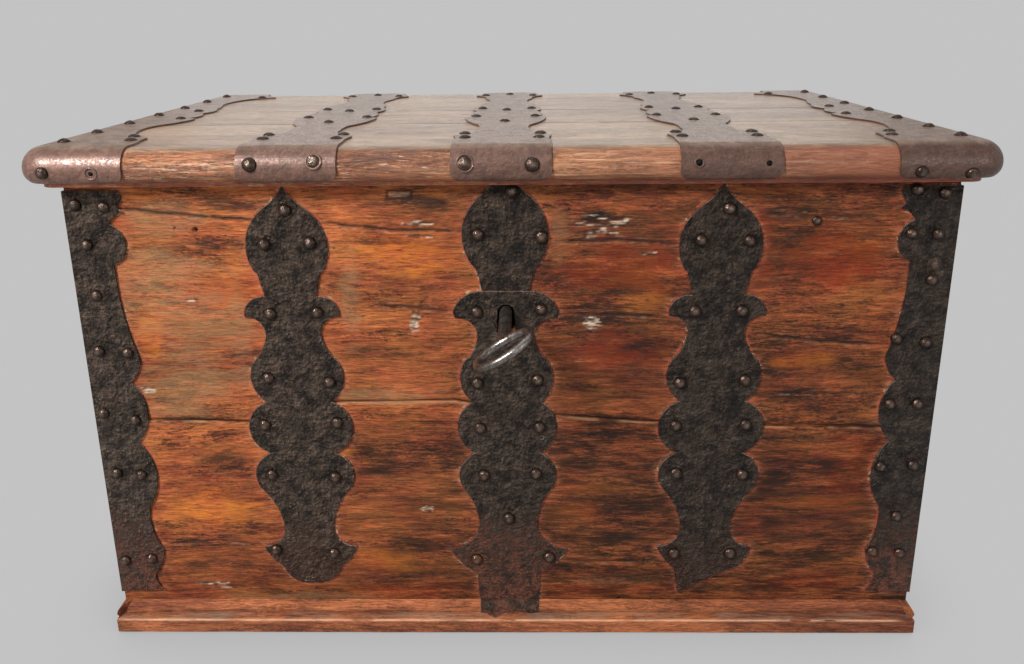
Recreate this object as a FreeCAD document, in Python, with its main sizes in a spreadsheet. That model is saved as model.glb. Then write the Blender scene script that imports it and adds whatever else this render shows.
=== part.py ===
import FreeCAD, Part
import math
import os
import re

# An iron-bound oak blanket chest: a dovetailed box on a moulded base frame, a flat lid with a rounded
# nose, forged straps, three strap hinges, a key lock with a sliding bolt, a till and two carrying handles.
# Millimetres. The origin is the centre of the underside, Z is up, and the front faces -Y.

os.makedirs("parts", exist_ok=True)
doc = FreeCAD.newDocument("BlanketChest")
sheet = doc.addObject("Spreadsheet::Sheet", "Sizes")
Vec = FreeCAD.Vector

SIZES = [
    # carcass
    ("body_width", 1040, "box, outside, left to right"),
    ("body_depth", 635, "box, outside, front to back"),
    ("rim_height", 597, "top edge of the walls above the floor"),
    ("wall", 28, "thickness of the wall boards"),
    ("seam_left", 301, "front board seam above the floor, left end"),
    ("seam_right", 286, "front board seam above the floor, right end"),
    ("tail_pitch", 93, "spacing of the dovetails"),
    ("tail_root", 50, "height of a dovetail where it leaves its board"),
    ("tail_slope", 10, "slope of a dovetail's flanks, degrees"),
    ("joint_gap", 0.15, "room left in the dovetails, grooves and seams"),
    # base frame and floor
    ("base_height", 34, "height of the base frame"),
    ("base_front", 22, "how far the base stands out at the front and back"),
    ("base_side", 4, "how far the base stands out at the sides"),
    ("base_face", 19, "upright face of the base"),
    ("floor_board", 24, "thickness of the floor boards"),
    ("floor_rebate", 12, "depth of the rebate that holds the floor"),
    # lid
    ("lid_gap", 1.5, "gap between the rim and the lid"),
    ("lid_front", 32, "how far the lid stands out at the front"),
    ("lid_side", 38, "how far the lid stands out at the sides"),
    ("lid_corner", 34, "radius of the lid's front corners, seen from above"),
    ("nose_top", 23, "upper radius of the lid's rounded nose"),
    ("nose_low", 15, "lower radius of the nose"),
    ("nose_flat", 1, "upright flat between the two roundings"),
    ("lid_strip", 6, "height of the square strip under the nose"),
    ("strip_back", 2, "how far the strip stands back behind the nose's lower edge"),
    ("lid_seam_front", -122, "front seam of the lid boards"),
    ("lid_seam_back", 42, "back seam of the lid boards"),
    # ironwork
    ("iron", 2.5, "thickness of the strap iron"),
    ("strap_width", 132, "greatest width of a front strap"),
    ("strap_left", -264, "axis of the left front strap"),
    ("strap_centre", -5, "axis of the centre strap and of the lock"),
    ("strap_right", 249, "axis of the right front strap"),
    ("corner_width", 67, "greatest width of a corner iron"),
    ("lid_strap_left", -249, "axis of the left lid strap"),
    ("lid_strap_centre", -8, "axis of the centre lid strap"),
    ("lid_strap_right", 249, "axis of the right lid strap"),
    ("lid_strap_width", 118, "greatest width of a lid strap"),
    ("wrap_width", 114, "width of a lid strap on the nose"),
    ("end_strap", 128, "greatest width of a strap at the end of the lid"),
    ("wrap_corner", 13, "radius of a wrap's lower corners"),
    # hinges
    ("hinge_width", 60, "width of a hinge across its knuckles"),
    ("hinge_drop", 285, "length of a hinge strap down the back"),
    ("pin_radius", 3.5, "hinge pin"),
    ("pin_play", 0.06, "room between the pin and its knuckle"),
    ("hinge_gap", 0.3, "room between moving hinge pieces"),
    # lock and key
    ("key_height", 440, "axis of the key above the floor"),
    ("key_angle", 32, "the key's rest position above the horizontal, degrees"),
    ("shank_radius", 7.5, "key shank"),
    ("keyhole_radius", 10, "round top of the keyhole"),
    ("keyhole_foot", 11.5, "half width at the keyhole's foot"),
    ("bit_reach", 26, "tip of the key's bit, from the key's axis"),
    ("bit_thick", 7, "thickness of the bit"),
    ("bit_width", 22, "width of the bit along the key"),
    ("bow_out", 120, "middle of the key's bow, out from the wall"),
    ("bow_width", 76, "width of the bow"),
    ("bow_length", 60, "length of the bow along the key"),
    ("bow_rod", 4.4, "radius of the bow's rod"),
    ("lock_plate", 3, "thickness of the lock plate"),
    ("lock_left", 95, "lock plate left of the key's axis"),
    ("lock_right", 146, "lock plate right of the key's axis"),
    ("lock_foot", 55, "lock plate below the key's axis"),
    ("lock_room", 8, "room between the lock plate and the bolt"),
    ("bolt_thick", 8, "thickness of the bolt"),
    ("bolt_bar", 20, "height of the bolt's bar"),
    ("bar_left", 67, "bolt bar left of its notch"),
    ("bar_right", 116, "bolt bar right of its notch"),
    ("spring_foot", 66, "far side of the spring's foot, left of the key's axis"),
    ("bolt_rate", 22, "bolt travel for each radian of key turn"),
    ("hasp_drop", 54, "hasp eye's foot below the lid"),
    ("hasp_wide", 12, "width of the hasp"),
    # till
    ("till_width", 170, "till, inside, from the left wall"),
    ("till_board", 12, "thickness of the till's boards"),
    ("till_floor", 440, "underside of the till above the floor"),
    ("till_top", 575, "top of the till's side above the floor"),
    ("groove", 6, "depth of the grooves that hold the till"),
    # side handles
    ("handle_height", 400, "handle pivot above the floor"),
    ("handle_span", 144, "handle, over its two pivots"),
    ("handle_rod", 5, "radius of the handle's rod"),
    ("handle_drop", 72, "handle, pivot to the middle of its grip"),
    ("eye_radius", 9.5, "outer radius of a handle eye"),
    ("eye_length", 11, "length of a handle eye"),
    ("handle_play", 0.08, "room between the handle's pivot and its eye"),
]
for row, (alias, value, meaning) in enumerate(SIZES, start=1):
    sheet.set(f"A{row}", alias)
    sheet.set(f"B{row}", str(value))
    sheet.set(f"C{row}", meaning)
    sheet.setAlias(f"B{row}", alias)
doc.recompute()

ALIASES = re.compile(r"\b(" + "|".join(alias for alias, _, _ in SIZES) + r")\b")


def cells(formula):
    """A formula in the sheet's words, as an expression that FreeCAD can bind."""
    return ALIASES.sub(r"Sizes.\1", str(formula))


def size(alias):
    """The present value of one cell."""
    return float(sheet.get(alias))


# ---------------------------------------------------------------- ways of making a piece

SUBPARTS = {}
ORIGIN_PLANES = {"XY": ("XY_Plane", "1"), "XZ": ("XZ_Plane", "-1"), "YZ": ("YZ_Plane", "1")}


def keep(label, thing):
    """Names a finished piece; its label is the name of its file."""
    thing.Label = label
    SUBPARTS[label] = thing
    return thing


def block(name, x, y, z):
    """A squared board between three pairs of bound positions."""
    box = doc.addObject("Part::Box", name)
    for length, way, (low, high) in (("Length", "x", x), ("Width", "y", y), ("Height", "z", z)):
        box.setExpression(length, cells(f"({high}) - ({low})"))
        box.setExpression(f"Placement.Base.{way}", cells(low))
    return box


def rod(name, radius, length, start, turn=None):
    """A round bar of bound radius and length from a bound start; turn lays it along X or Y."""
    bar = doc.addObject("Part::Cylinder", name)
    bar.setExpression("Radius", cells(radius))
    bar.setExpression("Height", cells(length))
    lay = {"X": FreeCAD.Rotation(Vec(0, 1, 0), 90), "Y": FreeCAD.Rotation(Vec(1, 0, 0), -90)}
    if turn:
        bar.Placement = FreeCAD.Placement(Vec(0, 0, 0), lay[turn])
    for way, place in zip("xyz", start):
        bar.setExpression(f"Placement.Base.{way}", cells(place))
    return bar


def fuse(name, pieces):
    joined = doc.addObject("Part::MultiFuse", name)
    joined.Shapes = pieces
    return joined


def common(name, pieces):
    shared = doc.addObject("Part::MultiCommon", name)
    shared.Shapes = pieces
    return shared


def cut(name, base, tool):
    rest = doc.addObject("Part::Cut", name)
    rest.Base = base
    rest.Tool = tool
    return rest


def trace(points):
    """Edges of a closed outline. A point is (x, y, bulge): the edge that leaves it is an arc that
    stands off its chord by the bulge, to the left of the way of travel, or a line where it is 0."""
    edges = []
    for start, end in zip(points, points[1:] + points[:1]):
        a, b = Vec(start[0], start[1], 0), Vec(end[0], end[1], 0)
        bulge = start[2] if len(start) > 2 else 0
        if bulge:
            chord = (b - a).normalize()
            middle = (a + b) * 0.5 + Vec(-chord.y, chord.x, 0) * bulge
            edges.append(Part.Arc(a, middle, b))
        else:
            edges.append(Part.LineSegment(a, b))
    return edges


def turned(rows):
    """Rows walked the other way: each bulge moves to the point where its arc now starts."""
    bulges = [row[2] if len(row) > 2 else 0 for row in rows]
    return [(x, y, bulge) for (x, y, *_), bulge in zip(reversed(rows), list(reversed(bulges[:-1])) + [0])]


def draw(owner, plane, place, outlines):
    """A sketch on one of the body's own origin planes, moved along the plane's axis to a bound place."""
    role, sign = ORIGIN_PLANES[plane]
    drawing = owner.newObject("Sketcher::SketchObject", owner.Name + "_sketch")
    face = [part for part in owner.Origin.OriginFeatures if part.Role == role][0]
    drawing.AttachmentSupport = [(face, "")]
    drawing.MapMode = "FlatFace"
    drawing.setExpression("AttachmentOffset.Base.z", cells(f"{sign} * ({place})"))
    for outline in outlines:
        drawing.addGeometry(trace(outline), False)
    return drawing


def pad(owner, drawing, length, against=False):
    """Thickens a sketch along its plane's normal: +Z, -Y or +X, or the other way with against."""
    feature = owner.newObject("PartDesign::Pad", owner.Name + "_pad")
    feature.Profile = drawing
    feature.setExpression("Length", cells(length))
    feature.Reversed = against
    owner.Tip = feature
    return feature


def pocket(owner, drawing, depth):
    """Cuts a sketch into the body, on whichever side of its plane the wood or iron lies."""
    doc.recompute()
    before = owner.Shape.Volume
    feature = owner.newObject("PartDesign::Pocket", owner.Name + "_pocket")
    feature.Profile = drawing
    feature.setExpression("Length", cells(depth))
    owner.Tip = feature
    doc.recompute()
    if owner.Shape.Volume > before * 0.999999:
        feature.Reversed = not feature.Reversed
        doc.recompute()
    if owner.Shape.Volume > before * 0.999999:
        raise RuntimeError(owner.Name + ": the pocket cuts nothing")
    return feature


def plate(name, plane, place, outlines, thickness, against=False):
    """A body made by thickening one sketch."""
    owner = doc.addObject("PartDesign::Body", name)
    pad(owner, draw(owner, plane, place, outlines), thickness, against)
    return owner


# ---------------------------------------------------------------- places shared by several pieces

HALF_WIDTH = size("body_width") / 2
HALF_DEPTH = size("body_depth") / 2
RIM = size("rim_height")
BASE = size("base_height")
WALL = size("wall")
IRON = size("iron")
GAP = size("joint_gap")
WALL_HEIGHT = RIM - BASE
LID_LOW = RIM + size("lid_gap")
LID_TOP = LID_LOW + size("lid_strip") + size("nose_low") + size("nose_flat") + size("nose_top")
KEY_X = size("strap_centre")
KEY_Z = size("key_height")

FRONT = "-body_depth / 2"
BACK = "body_depth / 2"
LEFT = "-body_width / 2"
RIGHT = "body_width / 2"
LID_UNDER = "(rim_height + lid_gap)"
LID_OVER = "(rim_height + lid_gap + lid_strip + nose_low + nose_flat + nose_top)"

# ---------------------------------------------------------------- dovetailed walls

TAILS = max(2, round(WALL_HEIGHT / size("tail_pitch")))
TAIL_STEP = WALL_HEIGHT / TAILS
TAIL_FLARE = WALL * math.tan(math.radians(size("tail_slope")))
END_SEAM = BASE + (TAILS // 2) * TAIL_STEP


def tail(number, play=0.0):
    """Heights of one dovetail: root low, tip low, tip high, root high."""
    middle = BASE + (number + 0.5) * TAIL_STEP
    root = size("tail_root") / 2 + play
    return middle - root, middle - root - TAIL_FLARE, middle + root + TAIL_FLARE, middle + root


def tail_sockets(side):
    """The dovetail-shaped sockets of a front or back board, seen from the end."""
    inner, outer = side * (HALF_DEPTH - WALL), side * HALF_DEPTH
    beyond = side * WALL
    over = TAIL_FLARE
    sockets = []
    for number in range(TAILS):
        root_low, tip_low, tip_high, root_high = tail(number, GAP)
        sockets.append(
            [
                (inner - beyond, root_low + over),
                (outer + beyond, tip_low - over),
                (outer + beyond, tip_high + over),
                (inner - beyond, root_high - over),
            ]
        )
    return sockets


def keyhole(play=0.0):
    """A round-topped hole that flares down to a foot for the bit."""
    top = size("keyhole_radius") + play
    foot = size("keyhole_foot") + play
    low = KEY_Z - size("bit_reach") - play
    return [
        (KEY_X - top, KEY_Z, top),
        (KEY_X + top, KEY_Z),
        (KEY_X + foot, low, 3),
        (KEY_X - foot, low),
    ]


def long_board(name, side, corners):
    """A front (side -1) or back (side 1) board, with sockets for the end boards' tails."""
    owner = doc.addObject("PartDesign::Body", name)
    inner_or_outer = "-body_depth / 2 + wall" if side < 0 else "body_depth / 2"
    pad(owner, draw(owner, "XZ", inner_or_outer, [corners]), "wall")
    for end in (LEFT, RIGHT):
        pocket(owner, draw(owner, "YZ", end, tail_sockets(side)), "wall")
    return owner


def end_board(name, side, low, high, numbers):
    """A left (side -1) or right (side 1) board, with the tails at its front and back ends."""
    inner = HALF_DEPTH - WALL
    outline = [(-inner, low)]
    for number in numbers:
        root_low, tip_low, tip_high, root_high = tail(number)
        outline += [(-inner, root_low), (-HALF_DEPTH, tip_low), (-HALF_DEPTH, tip_high), (-inner, root_high)]
    outline += [(-inner, high)]
    outline += [(-y, z) for y, z in reversed(outline)]
    return plate(name, "YZ", LEFT if side < 0 else RIGHT + " - wall", [outline], "wall")


def four_corners(low_left, low_right, high_left, high_right):
    return [
        (-HALF_WIDTH, low_left),
        (-HALF_WIDTH, high_left),
        (HALF_WIDTH, high_right),
        (HALF_WIDTH, low_right),
    ]


seam_left, seam_right = size("seam_left"), size("seam_right")
front_lower = long_board("FrontLower", -1, four_corners(BASE, BASE, seam_left - GAP, seam_right - GAP))
front_upper = long_board("FrontUpper", -1, four_corners(seam_left + GAP, seam_right + GAP, RIM, RIM))
pocket(front_upper, draw(front_upper, "XZ", FRONT, [keyhole(1.0)]), "wall")
back_lower = long_board("BackLower", 1, four_corners(BASE, BASE, END_SEAM - GAP, END_SEAM - GAP))
back_upper = long_board("BackUpper", 1, four_corners(END_SEAM + GAP, END_SEAM + GAP, RIM, RIM))

LOWER_TAILS, UPPER_TAILS = range(TAILS // 2), range(TAILS // 2, TAILS)
end_left_upper = end_board("EndLeftUpper", -1, END_SEAM + GAP, RIM, UPPER_TAILS)
keep("end_board_left_lower", end_board("EndLeftLower", -1, BASE, END_SEAM - GAP, LOWER_TAILS))
keep("end_board_right_upper", end_board("EndRightUpper", 1, END_SEAM + GAP, RIM, UPPER_TAILS))
keep("end_board_right_lower", end_board("EndRightLower", 1, BASE, END_SEAM - GAP, LOWER_TAILS))
keep("front_board_lower", front_lower)
keep("back_board_lower", back_lower)

# ---------------------------------------------------------------- till, housed in the walls

TILL_RIGHT = "-body_width / 2 + wall + till_width"
INSIDE_FRONT = "-body_depth / 2 + wall"
INSIDE_BACK = "body_depth / 2 - wall"


def till_boards(suffix, play):
    """The till's floor and side; the same two boards with play are the grooves they sit in."""
    floor = block(
        "TillFloor" + suffix,
        (f"{LEFT} + wall - groove - ({play})", f"{TILL_RIGHT} + till_board + ({play})"),
        (f"{INSIDE_FRONT} - groove - ({play})", f"{INSIDE_BACK} + groove + ({play})"),
        (f"till_floor - ({play})", f"till_floor + till_board + ({play})"),
    )
    side = block(
        "TillSide" + suffix,
        (f"{TILL_RIGHT} - ({play})", f"{TILL_RIGHT} + till_board + ({play})"),
        (f"{INSIDE_FRONT} - groove - ({play})", f"{INSIDE_BACK} + groove + ({play})"),
        (f"till_floor + till_board - ({play})", f"till_top + ({play})"),
    )
    return floor, side


till_floor, till_side = till_boards("", "0")
keep("till_floor", till_floor)
keep("till_side", till_side)
grooves = fuse("TillGrooves", till_boards("Groove", "joint_gap"))
keep("front_board_upper", cut("FrontUpperGrooved", front_upper, grooves))
keep("back_board_upper", cut("BackUpperGrooved", back_upper, grooves))
keep("end_board_left_upper", cut("EndLeftUpperGrooved", end_left_upper, grooves))

# ---------------------------------------------------------------- base frame and floor


def rail_section(face, stand_out):
    """Section of a base rail: a cove down from the wall, a sloping ledge, an upright face, and a
    rebate inside for the floor. face is the outer face of the wall and tells which way is out."""
    out = math.copysign(1, face)
    face_top = size("base_face")
    rebate = WALL - size("floor_rebate")
    return [
        (face, BASE, 2.2 * out),
        (face + out * min(9, stand_out * 0.5), face_top + 3),
        (face + out * stand_out, face_top),
        (face + out * stand_out, 0),
        (face - out * rebate, 0),
        (face - out * rebate, size("floor_board")),
        (face - out * WALL, size("floor_board")),
        (face - out * WALL, BASE),
    ]


OUT_X = HALF_WIDTH + size("base_side")
OUT_Y = HALF_DEPTH + size("base_front")
IN_X = HALF_WIDTH - WALL
IN_Y = HALF_DEPTH - WALL
for name, side in (("front", -1), ("back", 1)):
    bar = plate(
        "Rail" + name,
        "YZ",
        f"{LEFT} - base_side",
        [rail_section(side * HALF_DEPTH, size("base_front"))],
        "body_width + 2 * base_side",
    )
    mitres = [(-OUT_X, side * OUT_Y), (OUT_X, side * OUT_Y), (IN_X, side * IN_Y), (-IN_X, side * IN_Y)]
    plan = plate("Plan" + name, "XY", "0", [mitres], "base_height")
    keep("base_rail_" + name, common("Mitred" + name, [bar, plan]))
for name, side in (("left", -1), ("right", 1)):
    bar = plate(
        "Rail" + name,
        "XZ",
        f"{BACK} + base_front",
        [rail_section(side * HALF_WIDTH, size("base_side"))],
        "body_depth + 2 * base_front",
    )
    mitres = [(side * OUT_X, -OUT_Y), (side * OUT_X, OUT_Y), (side * IN_X, IN_Y), (side * IN_X, -IN_Y)]
    plan = plate("Plan" + name, "XY", "0", [mitres], "base_height")
    keep("base_rail_" + name, common("Mitred" + name, [bar, plan]))

FLOOR_BOARDS = ("front", "middle", "back")
for number, name in enumerate(FLOOR_BOARDS):
    strip = "(body_depth - 2 * wall + 2 * floor_rebate) / 3"
    low = f"{INSIDE_FRONT} - floor_rebate + {strip} * {number}"
    keep(
        "floor_board_" + name,
        block(
            "Floor" + name,
            (f"{LEFT} + wall - floor_rebate + joint_gap", f"{RIGHT} - wall + floor_rebate - joint_gap"),
            (f"{low} + joint_gap", f"{low} + {strip} - joint_gap"),
            ("0", "floor_board"),
        ),
    )

# ---------------------------------------------------------------- lid


def lid_plan(inset):
    """Plan of the lid, smaller by inset on the front and sides: square at the back, rounded in front."""
    side = HALF_WIDTH + size("lid_side") - inset
    front = -HALF_DEPTH - size("lid_front") + inset
    back = HALF_DEPTH - min(0, inset)
    corner = size("lid_corner") - inset
    bulge = -corner * (1 - math.sqrt(0.5))
    return [
        (-side, back),
        (-side, front + corner, bulge),
        (-side + corner, front),
        (side - corner, front, bulge),
        (side, front + corner),
        (side, back),
    ]


def lid_blank(name, grow=0.0):
    """The lid in one piece, its nose rounded by two radii. With grow it is larger all round, and the iron
    that wraps the lid lies between the two."""
    owner = doc.addObject("PartDesign::Body", name)
    low, high = LID_LOW + size("lid_strip") - grow, LID_TOP + grow
    pad(owner, draw(owner, "XY", str(low), [lid_plan(-grow)]), str(high - low))
    for level, radius in ((high, f"nose_top + {grow}"), (low, f"nose_low + {grow}")):
        doc.recompute()
        rim = [
            f"Edge{number}"
            for number, edge in enumerate(owner.Shape.Edges, start=1)
            if abs(edge.BoundBox.ZMin - level) + abs(edge.BoundBox.ZMax - level) < 0.01
            and edge.BoundBox.YMin < HALF_DEPTH + grow - 0.01
        ]
        slab = owner.Tip
        rounding = owner.newObject("PartDesign::Fillet", name + "Round")
        rounding.Base = (slab, rim)
        rounding.setExpression("Radius", cells(radius))
        owner.Tip = rounding
    if not grow:
        strip = draw(owner, "XY", LID_UNDER, [lid_plan(size("nose_low") + size("strip_back"))])
        pad(owner, strip, "lid_strip")
    return owner


blank = lid_blank("LidBlank")
LID_REGIONS = (
    ("front", f"{FRONT} - lid_front - 5", "lid_seam_front - joint_gap"),
    ("middle", "lid_seam_front + joint_gap", "lid_seam_back - joint_gap"),
    ("back", "lid_seam_back + joint_gap", f"{BACK} + 5"),
)
for name, low, high in LID_REGIONS:
    region = block(
        "LidRegion" + name,
        (f"{LEFT} - lid_side - 5", f"{RIGHT} + lid_side + 5"),
        (low, high),
        (f"{LID_UNDER} - 5", f"{LID_OVER} + 5"),
    )
    keep("lid_board_" + name, common("LidBoard" + name, [blank, region]))

# ---------------------------------------------------------------- straps on the front

# A strap's edge, from the top down: half width, height, and the bulge of the arc to the next point.
# It is drawn for a wall 563 high and a strap 132 wide, and stretched to the real ones.
DRAWN_RIM = 597.0
DRAWN_WALL = 563.0
DRAWN_WIDTH = 132.0

SIDE_EDGE = [
    (0, 597, -2),
    (22, 572),
    (26, 569, 14),
    (42, 494),
    (38, 490),
    (31, 461, 7),
    (58, 441),
    (58, 435, -8),
    (34, 411, -3),
    (52, 377, 11),
    (40, 323, 25),
    (41, 252, 15),
    (54, 198, -5),
    (32, 143, -8),
    (61, 117, 3),
]
SIDE_END = [(38, 86, 9), (0, 62, 9), (-38, 86, 3)]
BROKEN_END = [(42, 84), (23, 77), (-31, 46), (-38, 84, 3)]
CENTRE_TOP_EDGE = [(15, 597), (23, 588), (27, 585, 17), (40, 500), (36, 496, -1), (29, 468)]
CENTRE_EDGE = [
    (29, 467, 8),
    (64, 440),
    (62, 433, -9),
    (35, 407, -3),
    (51, 377, 10),
    (43, 322, 20),
    (41, 252, 14),
    (53, 197, -4),
    (37, 145, -9),
    (77, 113, 3),
    (41, 74),
    (39, 36),
]
CENTRE_END = [(12, 35), (-8, 38), (-22, 35), (-34, 37)]


def stretch(axis, edge_row, side):
    """One point of a strap's edge in place: side 1 is the right edge, -1 the left."""
    width = size("strap_width") / DRAWN_WIDTH
    half, height = edge_row[0], edge_row[1]
    drop = (DRAWN_RIM - height) * WALL_HEIGHT / DRAWN_WALL
    return axis + side * half * width, RIM - drop


def strap_outline(axis, edge, end):
    """The right edge downwards, the end, and the left edge upwards as its mirror image."""
    width = size("strap_width") / DRAWN_WIDTH
    bulges = [row[2] * width if len(row) > 2 else 0 for row in edge]
    right = [(*stretch(axis, row, 1), bulge) for row, bulge in zip(edge, bulges)]
    foot = [(*stretch(axis, row, 1), row[2] * width if len(row) > 2 else 0) for row in end]
    upward = list(reversed(edge))
    shifted = list(reversed(bulges[:-1])) + [0]
    if edge[0][0] == 0:
        upward, shifted = upward[:-1], shifted[:-1]
    left = [(*stretch(axis, row, -1), bulge) for row, bulge in zip(upward, shifted)]
    return right + foot + left


def front_strap(name, axis, edge, end, holes=()):
    outlines = [strap_outline(axis, edge, end)] + list(holes)
    return plate(name, "XZ", FRONT, outlines, "iron")


keep("front_strap_left", front_strap("FrontStrapLeft", size("strap_left"), SIDE_EDGE, SIDE_END))
keep("front_strap_right", front_strap("FrontStrapRight", size("strap_right"), SIDE_EDGE, BROKEN_END))
keep("front_strap_centre_top", front_strap("FrontStrapTop", KEY_X, CENTRE_TOP_EDGE, []))
keep("front_strap_centre", front_strap("FrontStrapCentre", KEY_X, CENTRE_EDGE, CENTRE_END, [keyhole()]))

# ---------------------------------------------------------------- corner irons

# Inner edge of a corner iron, from the top down: distance from the corner, height, bulge. The leaf on the
# front is scalloped; the leaves on the ends and the back are plain, with splayed ends.
CORNER_EDGE = [
    (62, 592, 2),
    (66, 582),
    (60, 571),
    (67, 566, -3),
    (48, 552, 17),
    (48, 502, -5),
    (64, 380, 3),
    (49, 350, 16),
    (48, 268, 16),
    (51, 176, -6),
    (62, 112, 3),
    (46, 74, -3),
    (56, 50),
]
PLAIN_EDGE = [(56, 592), (56, 572), (44, 556), (44, 340), (52, 318), (44, 296), (44, 88), (56, 70), (56, 50)]
DRAWN_CORNER = 67.0


def corner_leaf(corner, inward, lip, edge):
    """One leaf of a corner iron, from its corner line to its shaped edge; lip carries it round the corner."""
    width = size("corner_width") / DRAWN_CORNER
    rows = [(-lip / width, 592)] + edge + [(-lip / width, 48)]
    outline = []
    for distance, drawn_height, *bulge in rows:
        height = RIM - (DRAWN_RIM - drawn_height) * WALL_HEIGHT / DRAWN_WALL
        outline.append((corner + inward * distance * width, height, *[b * inward for b in bulge]))
    return outline


for name, x_side, y_side in (
    ("front_left", -1, -1),
    ("front_right", 1, -1),
    ("back_left", -1, 1),
    ("back_right", 1, 1),
):
    owner = doc.addObject("PartDesign::Body", "CornerIron" + name)
    face_outline = corner_leaf(x_side * HALF_WIDTH, -x_side, IRON, CORNER_EDGE if y_side < 0 else PLAIN_EDGE)
    side_outline = corner_leaf(y_side * HALF_DEPTH, -y_side, 0.0, PLAIN_EDGE)
    face_place = FRONT if y_side < 0 else BACK
    side_place = LEFT if x_side < 0 else RIGHT
    pad(owner, draw(owner, "XZ", face_place, [face_outline]), "iron", against=y_side > 0)
    pad(owner, draw(owner, "YZ", side_place, [side_outline]), "iron", against=x_side < 0)
    keep("corner_iron_" + name, owner)

# ---------------------------------------------------------------- hinges

HINGE_Z = LID_LOW - 0.5
KNUCKLE = "(pin_radius + pin_play + iron)"
HINGE_Y = f"(body_depth / 2 + {KNUCKLE} + hinge_gap)"
HINGE_HEIGHT = "(rim_height + lid_gap - 0.5)"
KNUCKLE_R = size("pin_radius") + size("pin_play") + IRON
CLEAR = f"({KNUCKLE} + 2.5)"
STRAPS = (("left", "lid_strap_left"), ("centre", "lid_strap_centre"), ("right", "lid_strap_right"))
THIRD = "(hinge_width / 3)"

# The hinge strap down the back, from its top edge: half width and drop, with the bulge to the next point.
HINGE_EDGE = [(30, 0), (30, 20, 10), (34, 100), (27, 112, 8), (24, 190, -4), (38, 228), (24, 245, 6)]
DRAWN_HINGE = 285.0
DRAWN_HINGE_WIDTH = 60.0


def knuckles(name, axis, spans):
    """Tongues and rolled knuckles on the hinge line; each span is a bound pair along X."""
    pieces = []
    for number, (low, high, tongue) in enumerate(spans):
        start = (f"{axis} + {low}", HINGE_Y, HINGE_HEIGHT)
        pieces.append(rod(f"{name}Knuckle{number}", KNUCKLE, f"({high}) - ({low})", start, "X"))
        pieces.append(
            block(
                f"{name}Tongue{number}",
                (f"{axis} + {low}", f"{axis} + {high}"),
                (f"{BACK} + hinge_gap", f"{BACK} + iron"),
                tongue,
            )
        )
    return pieces


def hinge_bore(name, axis):
    start = (f"{axis} - hinge_width", HINGE_Y, HINGE_HEIGHT)
    return rod(name, "pin_radius + pin_play", "2 * hinge_width", start, "X")


LOW_TONGUE = (f"{HINGE_HEIGHT} - {CLEAR} - 1", HINGE_HEIGHT)
HIGH_TONGUE = (HINGE_HEIGHT, f"{HINGE_HEIGHT} + {CLEAR} + 1")
for name, axis in STRAPS:
    centre = size(axis)
    top = HINGE_Z - KNUCKLE_R - 2.5
    width = size("hinge_width") / DRAWN_HINGE_WIDTH
    drop = size("hinge_drop") / DRAWN_HINGE
    right = [(centre + half * width, top - down * drop, *bulge) for half, down, *bulge in HINGE_EDGE]
    left = [(2 * centre - x, z, bulge) for x, z, bulge in turned(right)]
    outline = right + [(centre, top - size("hinge_drop"), 6 * width)] + left
    leaf = plate("BackLeaf" + name, "XZ", BACK, [outline], "iron", against=True)
    outer = (
        ("-hinge_width / 2", f"-{THIRD} / 2 - hinge_gap", LOW_TONGUE),
        (f"{THIRD} / 2 + hinge_gap", "hinge_width / 2", LOW_TONGUE),
    )
    joined = fuse("BackHinge" + name, [leaf] + knuckles("Back" + name, axis, outer))
    keep("hinge_strap_" + name, cut("BoredHinge" + name, joined, hinge_bore("BackBore" + name, axis)))
    pin_start = (f"{axis} - hinge_width / 2 - 2", HINGE_Y, HINGE_HEIGHT)
    keep("hinge_pin_" + name, rod("Pin" + name, "pin_radius", "hinge_width + 4", pin_start, "X"))

# ---------------------------------------------------------------- straps on the lid

# Edge of a lid strap, from front to back: half width, place along Y for a box 635 deep, and the bulge.
LID_EDGE = [
    (56, -300, -2),
    (59, -262, -9),
    (33, -205, -2),
    (34, -160, 5),
    (57, -72),
    (47, -60, 6),
    (44, 4, 8),
    (44, 68, 4),
    (33, 140, -5),
    (40, 205, -7),
    (59, 262),
    (49, 285, 2),
    (46, 312),
]
# Inner edge of an end strap, from front to back: distance from the lid's edge, place along Y, bulge.
END_EDGE = [
    (124, -300, -2),
    (119, -262, -7),
    (80, -200, -4),
    (80, -140, 5),
    (103, -64),
    (91, -54, 9),
    (87, 6, 9),
    (87, 70, 3),
    (76, 130, -4),
    (80, 205, -9),
    (128, 262),
    (106, 285),
    (102, 312),
]
DRAWN_DEPTH = 635.0
DRAWN_STRAP = 118.0
DRAWN_END = 128.0
FAR = 30.0
PLAN_HEIGHT = f"lid_strip + nose_low + nose_flat + nose_top + {FAR}"

skin = cut("LidSkin", lid_blank("IronBlank", IRON), blank)


def wrap_window(name, low_x, high_x):
    """Front view of a wrap: it reaches down the nose with two rounded corners, and is free above."""
    radius = size("wrap_corner")
    foot = LID_LOW + size("lid_strip") + 1
    round_bulge = radius * (1 - math.sqrt(0.5))
    shoulder = LID_TOP - size("nose_top") * 0.25
    outline = [
        (low_x + radius, foot, round_bulge),
        (low_x, foot + radius),
        (low_x, shoulder),
        (low_x - FAR, shoulder),
        (low_x - FAR, LID_TOP + FAR),
        (high_x + FAR, LID_TOP + FAR),
        (high_x + FAR, shoulder),
        (high_x, shoulder),
        (high_x, foot + radius, round_bulge),
        (high_x - radius, foot),
    ]
    return plate(name, "XZ", f"{BACK} + {FAR}", [outline], f"body_depth + lid_front + {2 * FAR}")


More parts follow.
